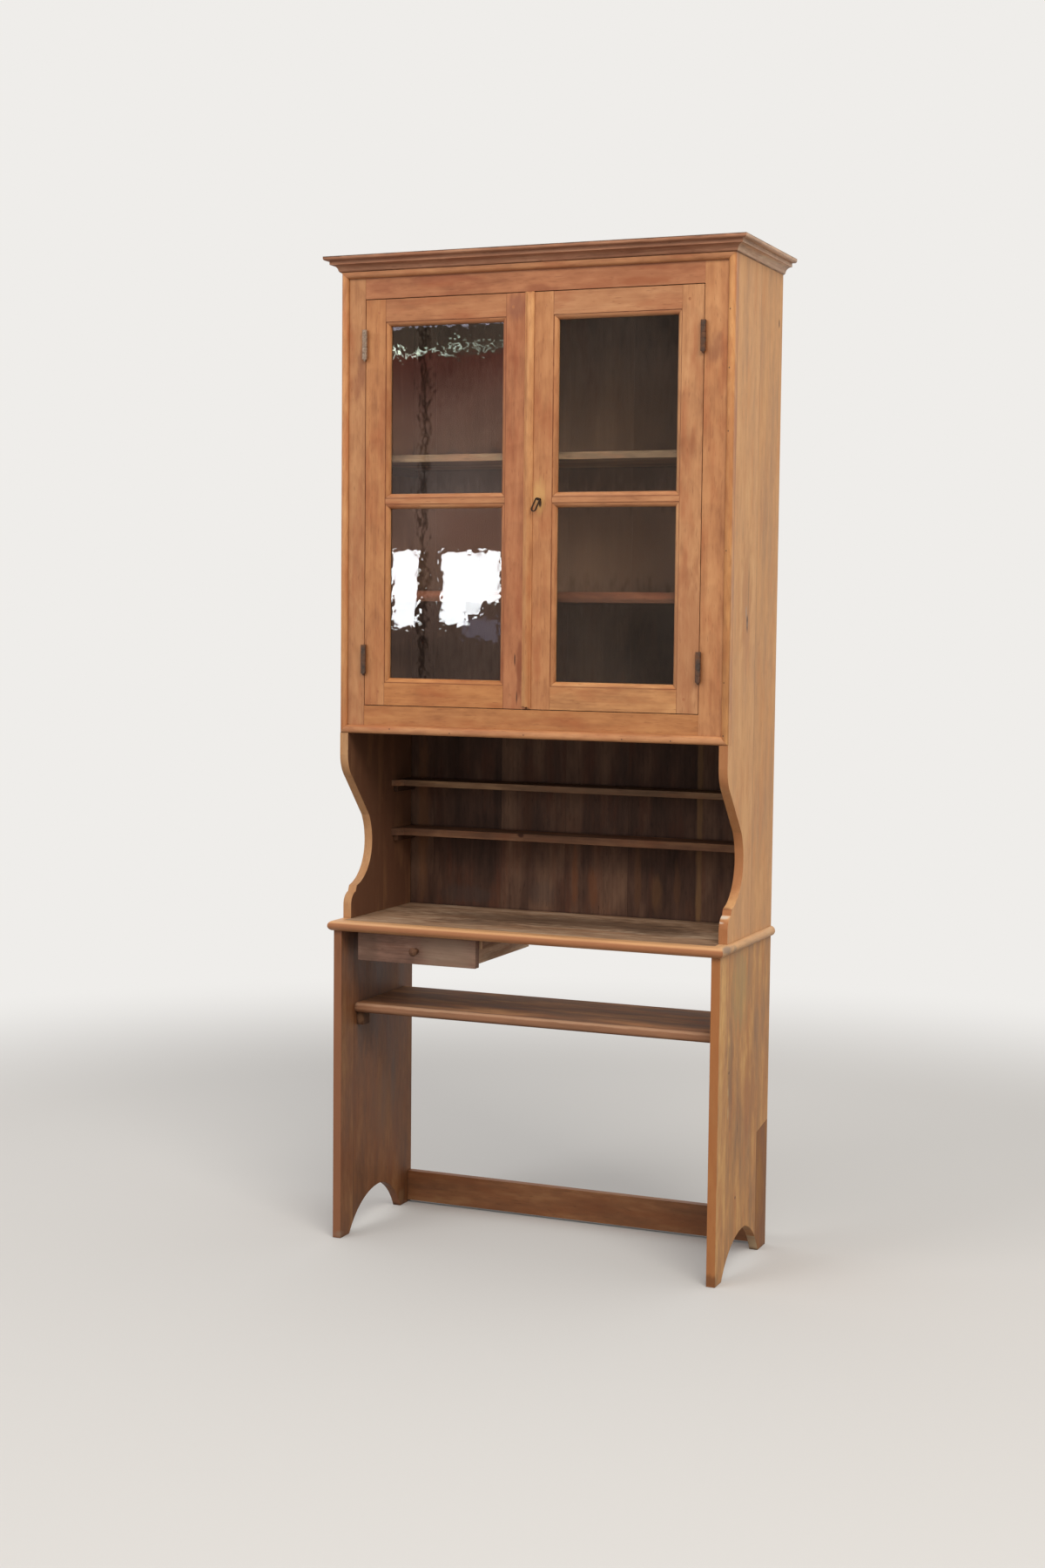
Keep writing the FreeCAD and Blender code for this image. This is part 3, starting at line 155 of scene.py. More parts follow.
# place, aimed at, width and height in metres, radiance, colour; the panes mirror the windows
lamps = {
    "keySoftbox": ((2.7, -3.3, 4.6), (0.0, 0.0, 1.0), (2.6, 2.2), 7.4, "#fff6e8"),
    "fillSoftbox": ((-2.6, -3.8, 4.2), (0.0, 0.0, 1.0), (2.2, 2.2), 3.4, "#fffaf4"),
    "windowLeft": ((-3.125, -6.0, 1.395), (-0.27, -0.12, 1.34), (0.125, 0.38), 15.0, "#f6faff"),
    "windowRight": ((-2.775, -6.0, 1.455), (-0.13, -0.12, 1.36), (0.295, 0.24), 15.0, "#f6faff"),
    "windowRightLow": ((-2.867, -6.0, 1.281), (-0.16, -0.12, 1.29), (0.126, 0.118), 15.0, "#f6faff"),
    "windowRightStep": ((-2.758, -6.0, 1.308), (-0.15, -0.12, 1.30), (0.10, 0.066), 12.0, "#f6faff"),
    "windowDim": ((-2.715, -6.0, 1.205), (-0.16, -0.12, 1.29), (0.16, 0.11), 0.8, "#c8cdf6")}


def makeLamps():
    for name, (place, target, (width, height), radiance, colour) in lamps.items():
        data = bpy.data.lights.new(name, "AREA")
        data.shape, data.size, data.size_y = "RECTANGLE", width, height
        data.energy = radiance * math.pi * width * height
        data.color = paint(colour)[:3]
        lamp = bpy.data.objects.new(name, data)
        lamp.location = place
        lamp.rotation_euler = (Vector(target) - Vector(place)).to_track_quat("-Z", "Y").to_euler()
        bpy.context.scene.collection.objects.link(lamp)
        if name.endswith("Softbox"):
            lamp.visible_glossy = False


# A dim card far in front, which only the panes mirror. Its left part stands for a lit wall, with
# brick on it, a grey beam across it and a post before it. A pair gives where a part starts to show
# and where it shows in full. A band gives its two edges and how far it fades beyond each.
# All in metres; a glow is an emission strength, a share a part of one.
roomCard = {"distance": 7.2, "left": -9.5, "right": 6.0, "foot": -0.5, "top": 4.4,
            "dim": "#6a5d55", "dimHigh": "#8c7b6d", "cloudScale": 2.2, "glow": (1.5, 2.7),
            "wall": "#cfa696", "wallRight": (-2.88, -3.06), "wallTop": (2.70, 2.66),
            "wallFoot": (1.05, 1.65), "footShare": 0.25,
            "brick": "#8a2a22", "brickHead": (2.18, 2.64), "brickSide": (-3.20, -3.10),
            "brickBand": (1.58, 1.80, 0.06, 0.08), "brickBandLeft": (-3.57, -3.42),
            "brickShare": 0.72, "brickLowShare": 0.4,
            "beam": "#aa9791", "beamBand": (1.90, 2.13, 0.06, 0.04),
            "post": -3.60, "postEdge": (0.010, 0.030), "postShare": 0.25,
            "daylight": "#dff0dc", "daylightAt": (-3.45, 2.70), "daylightSlope": -0.07,
            "daylightThick": 0.009, "daylightEnds": (-3.05, -3.6), "daylightGlow": 18.0,
            "tear": 0.16, "tearScale": 17.0,
            "ceiling": "#c6c0d6", "ceilingBand": (2.835, 2.865, 0.01, 0.01), "ceilingGlow": 4.5}


def stripe(tree, along, low, high, fadeLow, fadeHigh):
    # 1 between two places along an axis, fading to 0 beyond them
    start = addNode(tree, "MapRange", {"From": (low - fadeLow, low)}, {"Value": along})
    end = addNode(tree, "MapRange", {"From": (high + fadeHigh, high)}, {"Value": along})
    return addNode(tree, "Math", {"operation": "MULTIPLY"}, {0: start, 1: end})


def roomColour(tree, across, up, leftPart):
    # the lit wall with its brick and beam, and the dim rest of the room
    head = addNode(tree, "MapRange", {"From": roomCard["brickHead"]}, {"Value": up})
    side = addNode(tree, "MapRange", {"From": roomCard["brickSide"]}, {"Value": across})
    bandLeft = addNode(tree, "MapRange", {"From": roomCard["brickBandLeft"]}, {"Value": across})
    band = addNode(tree, "Math", {"operation": "MULTIPLY"},
                   {0: stripe(tree, up, *roomCard["brickBand"]), 1: bandLeft})
    low = addNode(tree, "Math", {"operation": "MAXIMUM"}, {0: side, 1: band})
    low = addNode(tree, "Math", {"operation": "MULTIPLY", 1: roomCard["brickLowShare"]}, {0: low})
    brick = addNode(tree, "Math", {"operation": "MAXIMUM"}, {0: head, 1: low})
    brick = addNode(tree, "Math", {"operation": "MULTIPLY", 1: roomCard["brickShare"]}, {0: brick})
    wall = addNode(tree, "Mix", {"data_type": "RGBA", 6: paint(roomCard["wall"]),
                                 7: paint(roomCard["brick"])}, {0: brick})
    wall = addNode(tree, "Mix", {"data_type": "RGBA", 7: paint(roomCard["beam"])},
                   {0: stripe(tree, up, *roomCard["beamBand"]), 6: wall.outputs[2]})
    highLeft = addNode(tree, "Math", {"operation": "MULTIPLY"}, {0: head, 1: leftPart})
    dim = addNode(tree, "Mix", {"data_type": "RGBA", 6: paint(roomCard["dim"]),
                                7: paint(roomCard["dimHigh"])}, {0: highLeft})
    under = addNode(tree, "MapRange", {"From": roomCard["wallTop"]}, {"Value": up})
    foot = addNode(tree, "MapRange", {"From": roomCard["wallFoot"], "To": (roomCard["footShare"], 1.0)},
                   {"Value": up})
    lit = addNode(tree, "Math", {"operation": "MULTIPLY"}, {0: leftPart, 1: under})
    lit = addNode(tree, "Math", {"operation": "MULTIPLY"}, {0: lit, 1: foot})
    return addNode(tree, "Mix", {"data_type": "RGBA"},
                   {0: lit, 6: dim.outputs[2], 7: wall.outputs[2]}).outputs[2]


def roomGlow(tree, place, across):
    # clouds of light, and the post as a dark line down both left panes
    cloudy = addNode(tree, "TexNoise", {"Scale": roomCard["cloudScale"], "Detail": 3.0}, {"Vector": place})
    strength = addNode(tree, "MapRange", {"From": (0.3, 0.7), "To": roomCard["glow"]},
                       {"Value": cloudy.outputs["Fac"]})
    beside = addNode(tree, "Math", {"operation": "SUBTRACT", 1: roomCard["post"]}, {0: across})
    beside = addNode(tree, "Math", {"operation": "ABSOLUTE"}, {0: beside})
    clear = addNode(tree, "MapRange", {"From": roomCard["postEdge"], "To": (roomCard["postShare"], 1.0)},
                    {"Value": beside})
    return addNode(tree, "Math", {"operation": "MULTIPLY"}, {0: strength, 1: clear})


def daylightGlow(tree, place, across, up):
    # daylight through a low transom: a thin torn line of light above the lit wall
    x, z = roomCard["daylightAt"]
    tear, slope = roomCard["tear"], roomCard["daylightSlope"]
    jitter = addNode(tree, "TexNoise", {"Scale": roomCard["tearScale"], "Detail": 4.0}, {"Vector": place})
    sloped = addNode(tree, "Math", {"operation": "MULTIPLY_ADD", 1: slope}, {0: across, 2: up})
    wavy = addNode(tree, "Math", {"operation": "MULTIPLY_ADD", 1: tear},
                   {0: jitter.outputs["Fac"], 2: sloped})
    off = addNode(tree, "Math", {"operation": "SUBTRACT", 1: z + slope * x + tear / 2}, {0: wavy})
    off = addNode(tree, "Math", {"operation": "ABSOLUTE"}, {0: off})
    line = addNode(tree, "MapRange", {"From": (roomCard["daylightThick"], 0.0),
                                      "To": (0.0, roomCard["daylightGlow"])}, {"Value": off})
    ends = addNode(tree, "MapRange", {"From": roomCard["daylightEnds"]}, {"Value": across})
    return addNode(tree, "Math", {"operation": "MULTIPLY"}, {0: line, 1: ends})


def ceilingGlow(tree, up, leftPart):
    # a thin bright line of ceiling above the wall
    edge = addNode(tree, "Math", {"operation": "MULTIPLY"},
                   {0: stripe(tree, up, *roomCard["ceilingBand"]), 1: leftPart})
    return addNode(tree, "Math", {"operation": "MULTIPLY", 1: roomCard["ceilingGlow"]}, {0: edge})


def roomCardMaterial():
    material, tree = newMaterial("dim room card")
    place = addNode(tree, "TexCoord").outputs["Object"]
    parts = addNode(tree, "SeparateXYZ", links={0: place})
    across, up = parts.outputs[0], parts.outputs[2]
    leftPart = addNode(tree, "MapRange", {"From": roomCard["wallRight"]}, {"Value": across})
    room = addNode(tree, "Emission", links={"Color": roomColour(tree, across, up, leftPart),
                                            "Strength": roomGlow(tree, place, across)})
    daylight = addNode(tree, "Emission", {"Color": paint(roomCard["daylight"])},
                       {"Strength": daylightGlow(tree, place, across, up)})
    ceiling = addNode(tree, "Emission", {"Color": paint(roomCard["ceiling"])},
                      {"Strength": ceilingGlow(tree, up, leftPart)})
    total = addNode(tree, "AddShader", links={0: room, 1: daylight})
    total = addNode(tree, "AddShader", links={0: total, 1: ceiling})
    # light on its way to the wood behind the panes passes through the card
    path = addNode(tree, "LightPath")
    through = addNode(tree, "BsdfTransparent")
    mix = addNode(tree, "MixShader", links={0: path.outputs["Diffuse Depth"], 1: total, 2: through})
    addNode(tree, "OutputMaterial", links={"Surface": mix})
    return material


def makeRoomCard():
    card = bpy.data.meshes.new("roomCard")
    x0, x1, y = roomCard["left"], roomCard["right"], -roomCard["distance"]
    z0, z1 = roomCard["foot"], roomCard["top"]
    card.from_pydata([(x0, y, z0), (x1, y, z0), (x1, y, z1), (x0, y, z1)], [], [(0, 1, 2, 3)])
    piece = bpy.data.objects.new("roomCard", card)
    bpy.context.scene.collection.objects.link(piece)
    card.materials.append(roomCardMaterial())
    for ray in ("camera", "diffuse", "shadow", "volume_scatter"):
        setattr(piece, "visible_" + ray, False)


makeWorld()
makeFloor()
makeRoomCard()
makeLamps()
bpy.context.scene.view_settings.view_transform = "Standard"
print("studio lit")

# Each finish: its sound wood, redder, darker and paler wood, how strongly each layer of the
# figure shows, how matt it is, and how much painted shade and grime darken its corners.
woods = {
    # planed pine under old wax: amber, with red heart patches and a soft sheen
    "waxed pine": dict(
        tone="#b87f58", red="#a35a38", dark="#7a452b", pale="#d09a70",
        patches=0.46, mottle=0.28, fibres=0.16, bands=0.20, rings=0.12, reds=0.50,
        gloss=0.5, rough=0.44, cornerShadeAndGrime=0.45),
    # the same pine where daylight has bleached it: straw and grey, drier
    "bleached pine": dict(
        tone="#bf9069", red="#b57a50", dark="#866044", pale="#d6b08a",
        patches=0.40, mottle=0.14, fibres=0.10, bands=0.12, rings=0.06, reds=0.40,
        gloss=0.4, rough=0.58, cornerShadeAndGrime=0.45),
    # unfinished pine gone brown with smoke and years of dishes
    "smoked pine": dict(
        tone="#4a3326", red="#56301f", dark="#1f1510", pale="#6f513b",
        patches=0.70, mottle=0.12, fibres=0.07, bands=0.08, rings=0.12, reds=0.45,
        gloss=0.2, rough=0.72, cornerShadeAndGrime=0.6),
    # board worn grey by hands and washing up
    "worn counter pine": dict(
        tone="#8a6a54", red="#7d5238", dark="#3d2d24", pale="#a58b76",
        patches=0.65, mottle=0.40, fibres=0.30, bands=0.24, rings=0.20, reds=0.45,
        gloss=0.25, rough=0.48, cornerShadeAndGrime=0.75),
    # moulding stained a darker brown, its edges rubbed
    "stained moulding pine": dict(
        tone="#8b5b43", red="#7a4530", dark="#4a2c1f", pale="#a8785c",
        patches=0.35, mottle=0.22, fibres=0.30, bands=0.20, rings=0.12,
        reds=0.35, gloss=0.25, rough=0.56, cornerShadeAndGrime=0.10),
    # dry unwaxed pine of the drawer: grey brown
    "dry pine": dict(
        tone="#7a6152", red="#6e4630", dark="#43322a", pale="#96816f",
        patches=0.45, mottle=0.28, fibres=0.35, bands=0.35, rings=0.25, reds=0.45,
        gloss=0.3, rough=0.68, cornerShadeAndGrime=0.7),
    # legs rubbed by feet and brooms: brown and olive patches
    "scuffed pine": dict(
        tone="#8e6546", red="#84502f", dark="#4e3424", pale="#b18e68",
        patches=0.60, mottle=0.18, fibres=0.09, bands=0.06, rings=0.08, reds=0.45,
        gloss=0.4, rough=0.54, cornerShadeAndGrime=0.7)}

# sizes of the figure; the finest fibres are drawn about twice as coarse as real ones, to show
figure = {"ring": 7 * mm, "fibre": 3.4 * mm, "fibreLength": 160 * mm, "patch": 42 * mm,
          "patchLength": 190 * mm, "mottle": 11 * mm, "mottleLength": 34 * mm, "band": 17 * mm,
          "bandLength": 1100 * mm, "pore": 2.4 * mm, "poreLength": 20 * mm, "crevice": 9 * mm,
          "wander": 20 * mm, "seam": 1.0 * mm, "relief": 0.3 * mm, "pithDepth": (0.05, 0.11),
          "boardJump": (0.37, 0.61, 0.83), "slowScale": (7.0, 1.7), "ringSquash": 0.10,
          "toneStops": (0.22, 0.5, 0.74)}

# where along its noise each layer starts to show, and where it shows in full
onset = {"heart": (0.50, 0.68), "pore": (0.64, 0.74), "unevenFaceTint": (0.30, 0.45), "brokenLine": (0.36, 0.52),
         "sheen": (0.3, 0.7), "shadeAndGrimeMask": (0.80, 0.30), "mark": (1.6, 0.9), "facing": (0.45, 0.85)}
depth = {"pore": 0.35, "line": 0.8, "boardTone": 0.12}  # how strongly these show

axisOf = {"x": 0, "y": 1, "z": 2}


def alongGrain(grain, across, along):
    return tuple(along if i == axisOf[grain] else across for i in range(3))


def tint(tree, colour, amount, factor, shade):
    # lays a shade over a colour, as strongly as a factor says
    strength = addNode(tree, "Math", {"operation": "MULTIPLY", 1: amount, "use_clamp": True}, {0: factor})
    return addNode(tree, "Mix", {"data_type": "RGBA", 7: shade}, {0: strength, 6: colour}).outputs[2]


def splitBoards(tree, place, across, edges):
    # boards edge to edge: the figure jumps at each joint, and each board has its own number
    own = None
    for edge in edges:
        past = addNode(tree, "Math", {"operation": "GREATER_THAN", 1: edge * mm}, {0: across})
        own = past if own is None else addNode(tree, "Math", {"operation": "ADD"}, {0: own, 1: past})
    jump = addNode(tree, "CombineXYZ", links={i: own for i in range(3)})
    start = addNode(tree, "VectorMath", {"operation": "MULTIPLY_ADD", 1: figure["boardJump"]},
                    {0: jump, 2: place})
    return start, own


def growthRings(tree, lean, grain, box, shift, dice):
    # rings round a pith that lies behind the face
    low, high = box
    size = high - low
    thin, wide = sorted((i for i in range(3) if i != axisOf[grain]), key=lambda i: size[i])
    pith = [0.0, 0.0, 0.0]
    pith[thin] = (low[thin] + high[thin]) / 2 + dice.choice((-1, 1)) * dice.uniform(*figure["pithDepth"])
    pith[wide] = (low[wide] + high[wide]) / 2 + dice.uniform(-0.5, 0.5) * max(size[wide], 0.05)
    centred = addNode(tree, "VectorMath", {"operation": "SUBTRACT", 1: Vector(pith) + shift}, {0: lean})
    squashed = addNode(tree, "Mapping", {"Scale": alongGrain(grain, 1.0, figure["ringSquash"])},
                       {"Vector": centred})
    rings = addNode(tree, "TexWave", {"wave_type": "RINGS", "rings_direction": "SPHERICAL",
                                      "wave_profile": "SAW", "Scale": math.pi / 10 / figure["ring"],
                                      "Distortion": 2.0, "Detail": 2.0, "Detail Scale": 0.4},
                    {"Vector": squashed})
    return addNode(tree, "ValToRGB", {"stops": [(0.0, 0.0), (0.5, 0.1), (0.92, 1.0), (1.0, 0.0)]},
                   {0: rings.outputs["Fac"]})


def ageAndLightFaces(tree, colour, normal, patches, faces):
    # faces tinted by the way they face: the inside of a side aged on its own; the nosing's top and front get
    # a painted highlight and painted shade
    facing = addNode(tree, "SeparateXYZ", links={0: normal})
    for axis, way, shade, amount in faces:
        turned = addNode(tree, "MapRange", {"From": [way * turn for turn in onset["facing"]]},
                         {"Value": facing.outputs[axisOf[axis]]})
        uneven = addNode(tree, "MapRange", {"From": onset["unevenFaceTint"], "To": (0.7, 1.0)}, {"Value": patches})
        both = addNode(tree, "Math", {"operation": "MULTIPLY"}, {0: turned, 1: uneven})
        colour = tint(tree, colour, amount, both, paint(shade))
    return colour


def laySpots(tree, colour, place, mottle, spots):
    # marks with ragged edges: knots, stains and worn ends, and some painted highlights and painted shade
    for centre, reach, shade, amount in spots:
        away = addNode(tree, "VectorMath", {"operation": "SUBTRACT", 1: Vector(centre) * mm}, {0: place})
        scaled = addNode(tree, "VectorMath", {"operation": "DIVIDE", 1: Vector(reach) * mm}, {0: away})
        far = addNode(tree, "VectorMath", {"operation": "LENGTH"}, {0: scaled})
        ragged = addNode(tree, "Math", {"operation": "ADD"}, {0: far.outputs["Value"], 1: mottle})
        within = addNode(tree, "MapRange", {"interpolation_type": "SMOOTHSTEP", "From": onset["mark"]},
                         {"Value": ragged})
        colour = tint(tree, colour, amount, within, paint(shade))
    return colour


def layJointAndShadeLines(tree, colour, parts, mottle, lines, dark):
    # fine broken dark lines: grime along glue joints and seams, painted shade and grime in the quirks of
    # mouldings, a painted shadow line at the cornice's foot, and a dark line in a hinge gap
    seam = figure["seam"]
    for axis, edge in lines:
        off = addNode(tree, "Math", {"operation": "SUBTRACT", 1: edge * mm},
                      {0: parts.outputs[axisOf[axis]]})
        off = addNode(tree, "Math", {"operation": "ABSOLUTE"}, {0: off})
        line = addNode(tree, "MapRange", {"From": (seam * 1.4, seam / 3)}, {"Value": off})
        broken = addNode(tree, "MapRange", {"From": onset["brokenLine"], "To": (0.25, 1.0)},
                         {"Value": mottle})
        both = addNode(tree, "Math", {"operation": "MULTIPLY"}, {0: line, 1: broken})
        colour = tint(tree, colour, depth["line"], both, dark)
    return colour


def woodMaterial(name, finish, grain, seed, box, tone, marks, joints):
    wood = dict(woods[finish])
    usual, wanted = paint(wood["tone"]), paint(tone or wood["tone"])
    for kind in ("tone", "red", "dark", "pale"):  # the whole palette follows the board's own tone
        wood[kind] = tuple(min(1.0, c * w / u) for c, w, u in zip(paint(wood[kind]), wanted, usual))
    dice = random.Random(seed)
    material, tree = newMaterial(name)
    whereabouts = addNode(tree, "TexCoord")
    place = whereabouts.outputs["Object"]
    parts = addNode(tree, "SeparateXYZ", links={0: place})
    shift = Vector([dice.uniform(-9, 9) for _ in range(3)])
    start, own = place, None
    if joints:
        axis, edges = joints
        start, own = splitBoards(tree, place, parts.outputs[axisOf[axis]], edges)
    moved = addNode(tree, "Mapping", {"Location": shift}, {"Vector": start})

    # slow wander of the grain, so that no line is straight
    slow = addNode(tree, "Mapping", {"Scale": alongGrain(grain, *figure["slowScale"])}, {"Vector": moved})
    wander = addNode(tree, "TexNoise", {"Scale": 1.0, "Detail": 2.0}, {"Vector": slow})
    lean = addNode(tree, "VectorMath", {"operation": "MULTIPLY_ADD", 1: [figure["wander"]] * 3},
                   {0: wander.outputs["Color"], 2: moved})
    lateWood = growthRings(tree, lean, grain, box, shift, dice)

    def streaks(width, length, detail, rough=0.5):
        spot = addNode(tree, "Mapping", {"Scale": alongGrain(grain, 1 / width, 1 / length)}, {"Vector": lean})
        return addNode(tree, "TexNoise", {"Scale": 1.0, "Detail": detail, "Roughness": rough},
                       {"Vector": spot}).outputs["Fac"]

    layers = {"patches": streaks(figure["patch"], figure["patchLength"], 3.0, 0.55),
              "mottle": streaks(figure["mottle"], figure["mottleLength"], 2.0),
              "fibres": streaks(figure["fibre"], figure["fibreLength"], 3.0, 0.6),
              "bands": streaks(figure["band"], figure["bandLength"], 2.0)}
    shade = None
    for layer, noise in layers.items():  # all layers add up to one shade, from dark to pale
        step = {"operation": "MULTIPLY_ADD", 1: wood[layer]}
        if shade is None:
            step[2] = 0.5 - sum(wood[k] for k in layers) / 2
        shade = addNode(tree, "Math", step, {0: noise} if shade is None else {0: noise, 2: shade})
    if own is not None:  # each board a little darker or paler
        lot = addNode(tree, "TexWhiteNoise", {"noise_dimensions": "1D"}, {"W": own})
        shade = addNode(tree, "Math", {"operation": "MULTIPLY_ADD", 1: depth["boardTone"]},
                        {0: lot, 2: shade})
        shade = addNode(tree, "Math", {"operation": "SUBTRACT", 1: depth["boardTone"] / 2}, {0: shade})
    tones = zip(figure["toneStops"], (wood["dark"], wood["tone"], wood["pale"]))
    colour = addNode(tree, "ValToRGB", {"stops": list(tones)}, {0: shade})
    heart = streaks(figure["patch"] * 0.8, figure["patchLength"] * 0.8, 3.0, 0.6)
    redness = addNode(tree, "MapRange", {"From": onset["heart"]}, {"Value": heart})
    colour = tint(tree, colour, wood["reds"], redness, wood["red"])
    colour = tint(tree, colour, wood["rings"], lateWood, wood["dark"])
    pores = streaks(figure["pore"], figure["poreLength"], 1.0)
    flecks = addNode(tree, "MapRange", {"From": onset["pore"]}, {"Value": pores})
    colour = tint(tree, colour, depth["pore"], flecks, wood["dark"])
    colour = ageAndLightFaces(tree, colour, whereabouts.outputs["Normal"], layers["patches"],
                      marks.get("faces", ()))
    colour = laySpots(tree, colour, place, layers["mottle"], marks.get("spots", ()))
    colour = layJointAndShadeLines(tree, colour, parts, layers["mottle"], marks.get("lines", ()), wood["dark"])

    # painted shade in corners and crevices, darker where ambient occlusion is high; it stands also for grime
    # that cloths don't reach
    corner = addNode(tree, "AmbientOcclusion", {"samples": 6, "Distance": figure["crevice"]})
    shadeAndGrimeMask = addNode(tree, "MapRange", {"From": onset["shadeAndGrimeMask"]}, {"Value": corner.outputs["AO"]})
    colour = tint(tree, colour, wood["cornerShadeAndGrime"], shadeAndGrimeMask, wood["dark"])

    relief = addNode(tree, "Math", {"operation": "ADD"}, {0: layers["fibres"], 1: pores})
    bump = addNode(tree, "Bump", {"Strength": 0.5, "Distance": figure["relief"], "invert": True},
                   {"Height": relief})
    gloss = addNode(tree, "MapRange", {"From": onset["sheen"],
                                       "To": (wood["rough"] - 0.06, wood["rough"] + 0.10)},
                    {"Value": layers["patches"]})
    shader = addNode(tree, "BsdfPrincipled", {"IOR": 1.45, "Specular IOR Level": wood["gloss"]},
                     {"Base Color": colour, "Roughness": gloss, "Normal": bump})
    addNode(tree, "OutputMaterial", links={"Surface": shader})
    return material


# node: finish, grain, own tone
boards = {
    "leg_left": ("scuffed pine", "z", "#805435"),
    "leg_right": ("scuffed pine", "z", "#c28e5a"),
    "leg_right_patch": ("scuffed pine", "z", "#8c592c"),
    "back_stretcher": ("scuffed pine", "x", "#86593a"),
    "lower_shelf": ("smoked pine", "x", "#946b4f"),
    "counter_top": ("worn counter pine", "x", "#aa896f"),
    "counter_nosing_front": ("waxed pine", "x", "#c79064"),
    "counter_nosing_left": ("waxed pine", "y", "#c79064"),
    "counter_nosing_right": ("bleached pine", "y", "#d8ab7e"),
    "drawer_hangers": ("dry pine", "y", "#9e7c62"),
    "drawer_front": ("dry pine", "x", "#826356"),
    "drawer_side_left": ("dry pine", "y", "#93785f"),
    # its tone raised to offset the shade under the counter's overhang: painted light
    "drawer_side_right": ("dry pine", "y", "#c9a88e"),
    "drawer_back": ("dry pine", "x", None),
    "drawer_bottom": ("dry pine", "x", "#8d7360"),
    "drawer_knob": ("dry pine", "y", "#6b4f3f"),
    "side_left": ("bleached pine", "z", "#b5875f"),
    "side_right": ("bleached pine", "z", "#d4a06f"),
    "cabinet_top": ("smoked pine", "x", None),
    "cabinet_floor": ("smoked pine", "x", None),
    "cabinet_shelf_upper": ("smoked pine", "x", "#937662"),
    "cabinet_shelf_lower": ("smoked pine", "x", "#6c4133"),
    "plate_shelf_upper": ("smoked pine", "x", "#7b5f4a"),
    "plate_shelf_lower": ("smoked pine", "x", "#6b4c3a"),
    "shelf_cleats": ("smoked pine", "y", "#4a3326"),
    "back_boards": ("smoked pine", "z", "#553e34"),
    "frame_stile_left": ("waxed pine", "z", "#b78157"),
    "frame_stile_right": ("waxed pine", "z", "#bd8357"),
    "frame_rail_top": ("waxed pine", "x", "#b0744f"),
    "frame_rail_bottom": ("waxed pine", "x", "#b77b4b"),
    "bead_left": ("waxed pine", "z", "#c98e5e"),
    "bead_right": ("waxed pine", "z", "#cb905b"),
    "bead_top": ("waxed pine", "x", "#ba8158"),
    "bead_bottom": ("waxed pine", "x", "#bd855b"),
    "cornice_front": ("stained moulding pine", "x", "#ac7b61"),
    "cornice_left": ("stained moulding pine", "y", "#ac7b61"),
    "cornice_right": ("stained moulding pine", "y", "#dab69b"),
    "left_door_hinge_stile": ("waxed pine", "z", "#b87d50"),
    "left_door_meeting_stile": ("waxed pine", "z", "#b1734d"),
    "left_door_top_rail": ("waxed pine", "x", "#b17750"),
    "left_door_bar": ("waxed pine", "x", "#b67d55"),
    "left_door_bottom_rail": ("waxed pine", "x", "#ba7b49"),
    "left_door_pegs": ("waxed pine", "y", "#b3764e"),
    "right_door_hinge_stile": ("waxed pine", "z", "#c08a5f"),
    "right_door_meeting_stile": ("waxed pine", "z", "#ba7f53"),
    "right_door_top_rail": ("waxed pine", "x", "#b57e57"),
    "right_door_bar": ("waxed pine", "x", "#bb8259"),
    "right_door_bottom_rail": ("waxed pine", "x", "#c48c5b"),
    "right_door_pegs": ("waxed pine", "y", "#b57a52"),
    "cover_strip": ("waxed pine", "z", "#c58c5c")}

# glue joints: axis and the places in mm where one board ends and the next begins
glueJoints = {"back_boards": ("x", (-341, -182, -35, 106, 256, 268)),
              "side_left": ("y", (28.75,)), "side_right": ("y", (28.75,)),
              "leg_left": ("y", (-105,)), "leg_right": ("y", (-105,))}

# the quirks of the door members' mouldings, which get fine lines of painted shade and grime: x of stiles, z
# of rails
doorQuirkShade = {"left": {"hinge": -316.9, "meeting": -54.95}, "right": {"hinge": 307.4, "meeting": 45.45}}
railQuirkShade = {"top_rail": (1869.5,), "bar": (1507.5, 1519.5), "bottom_rail": (1149.5,)}
endless = 2000  # reach of a mark that runs right across its board, in mm
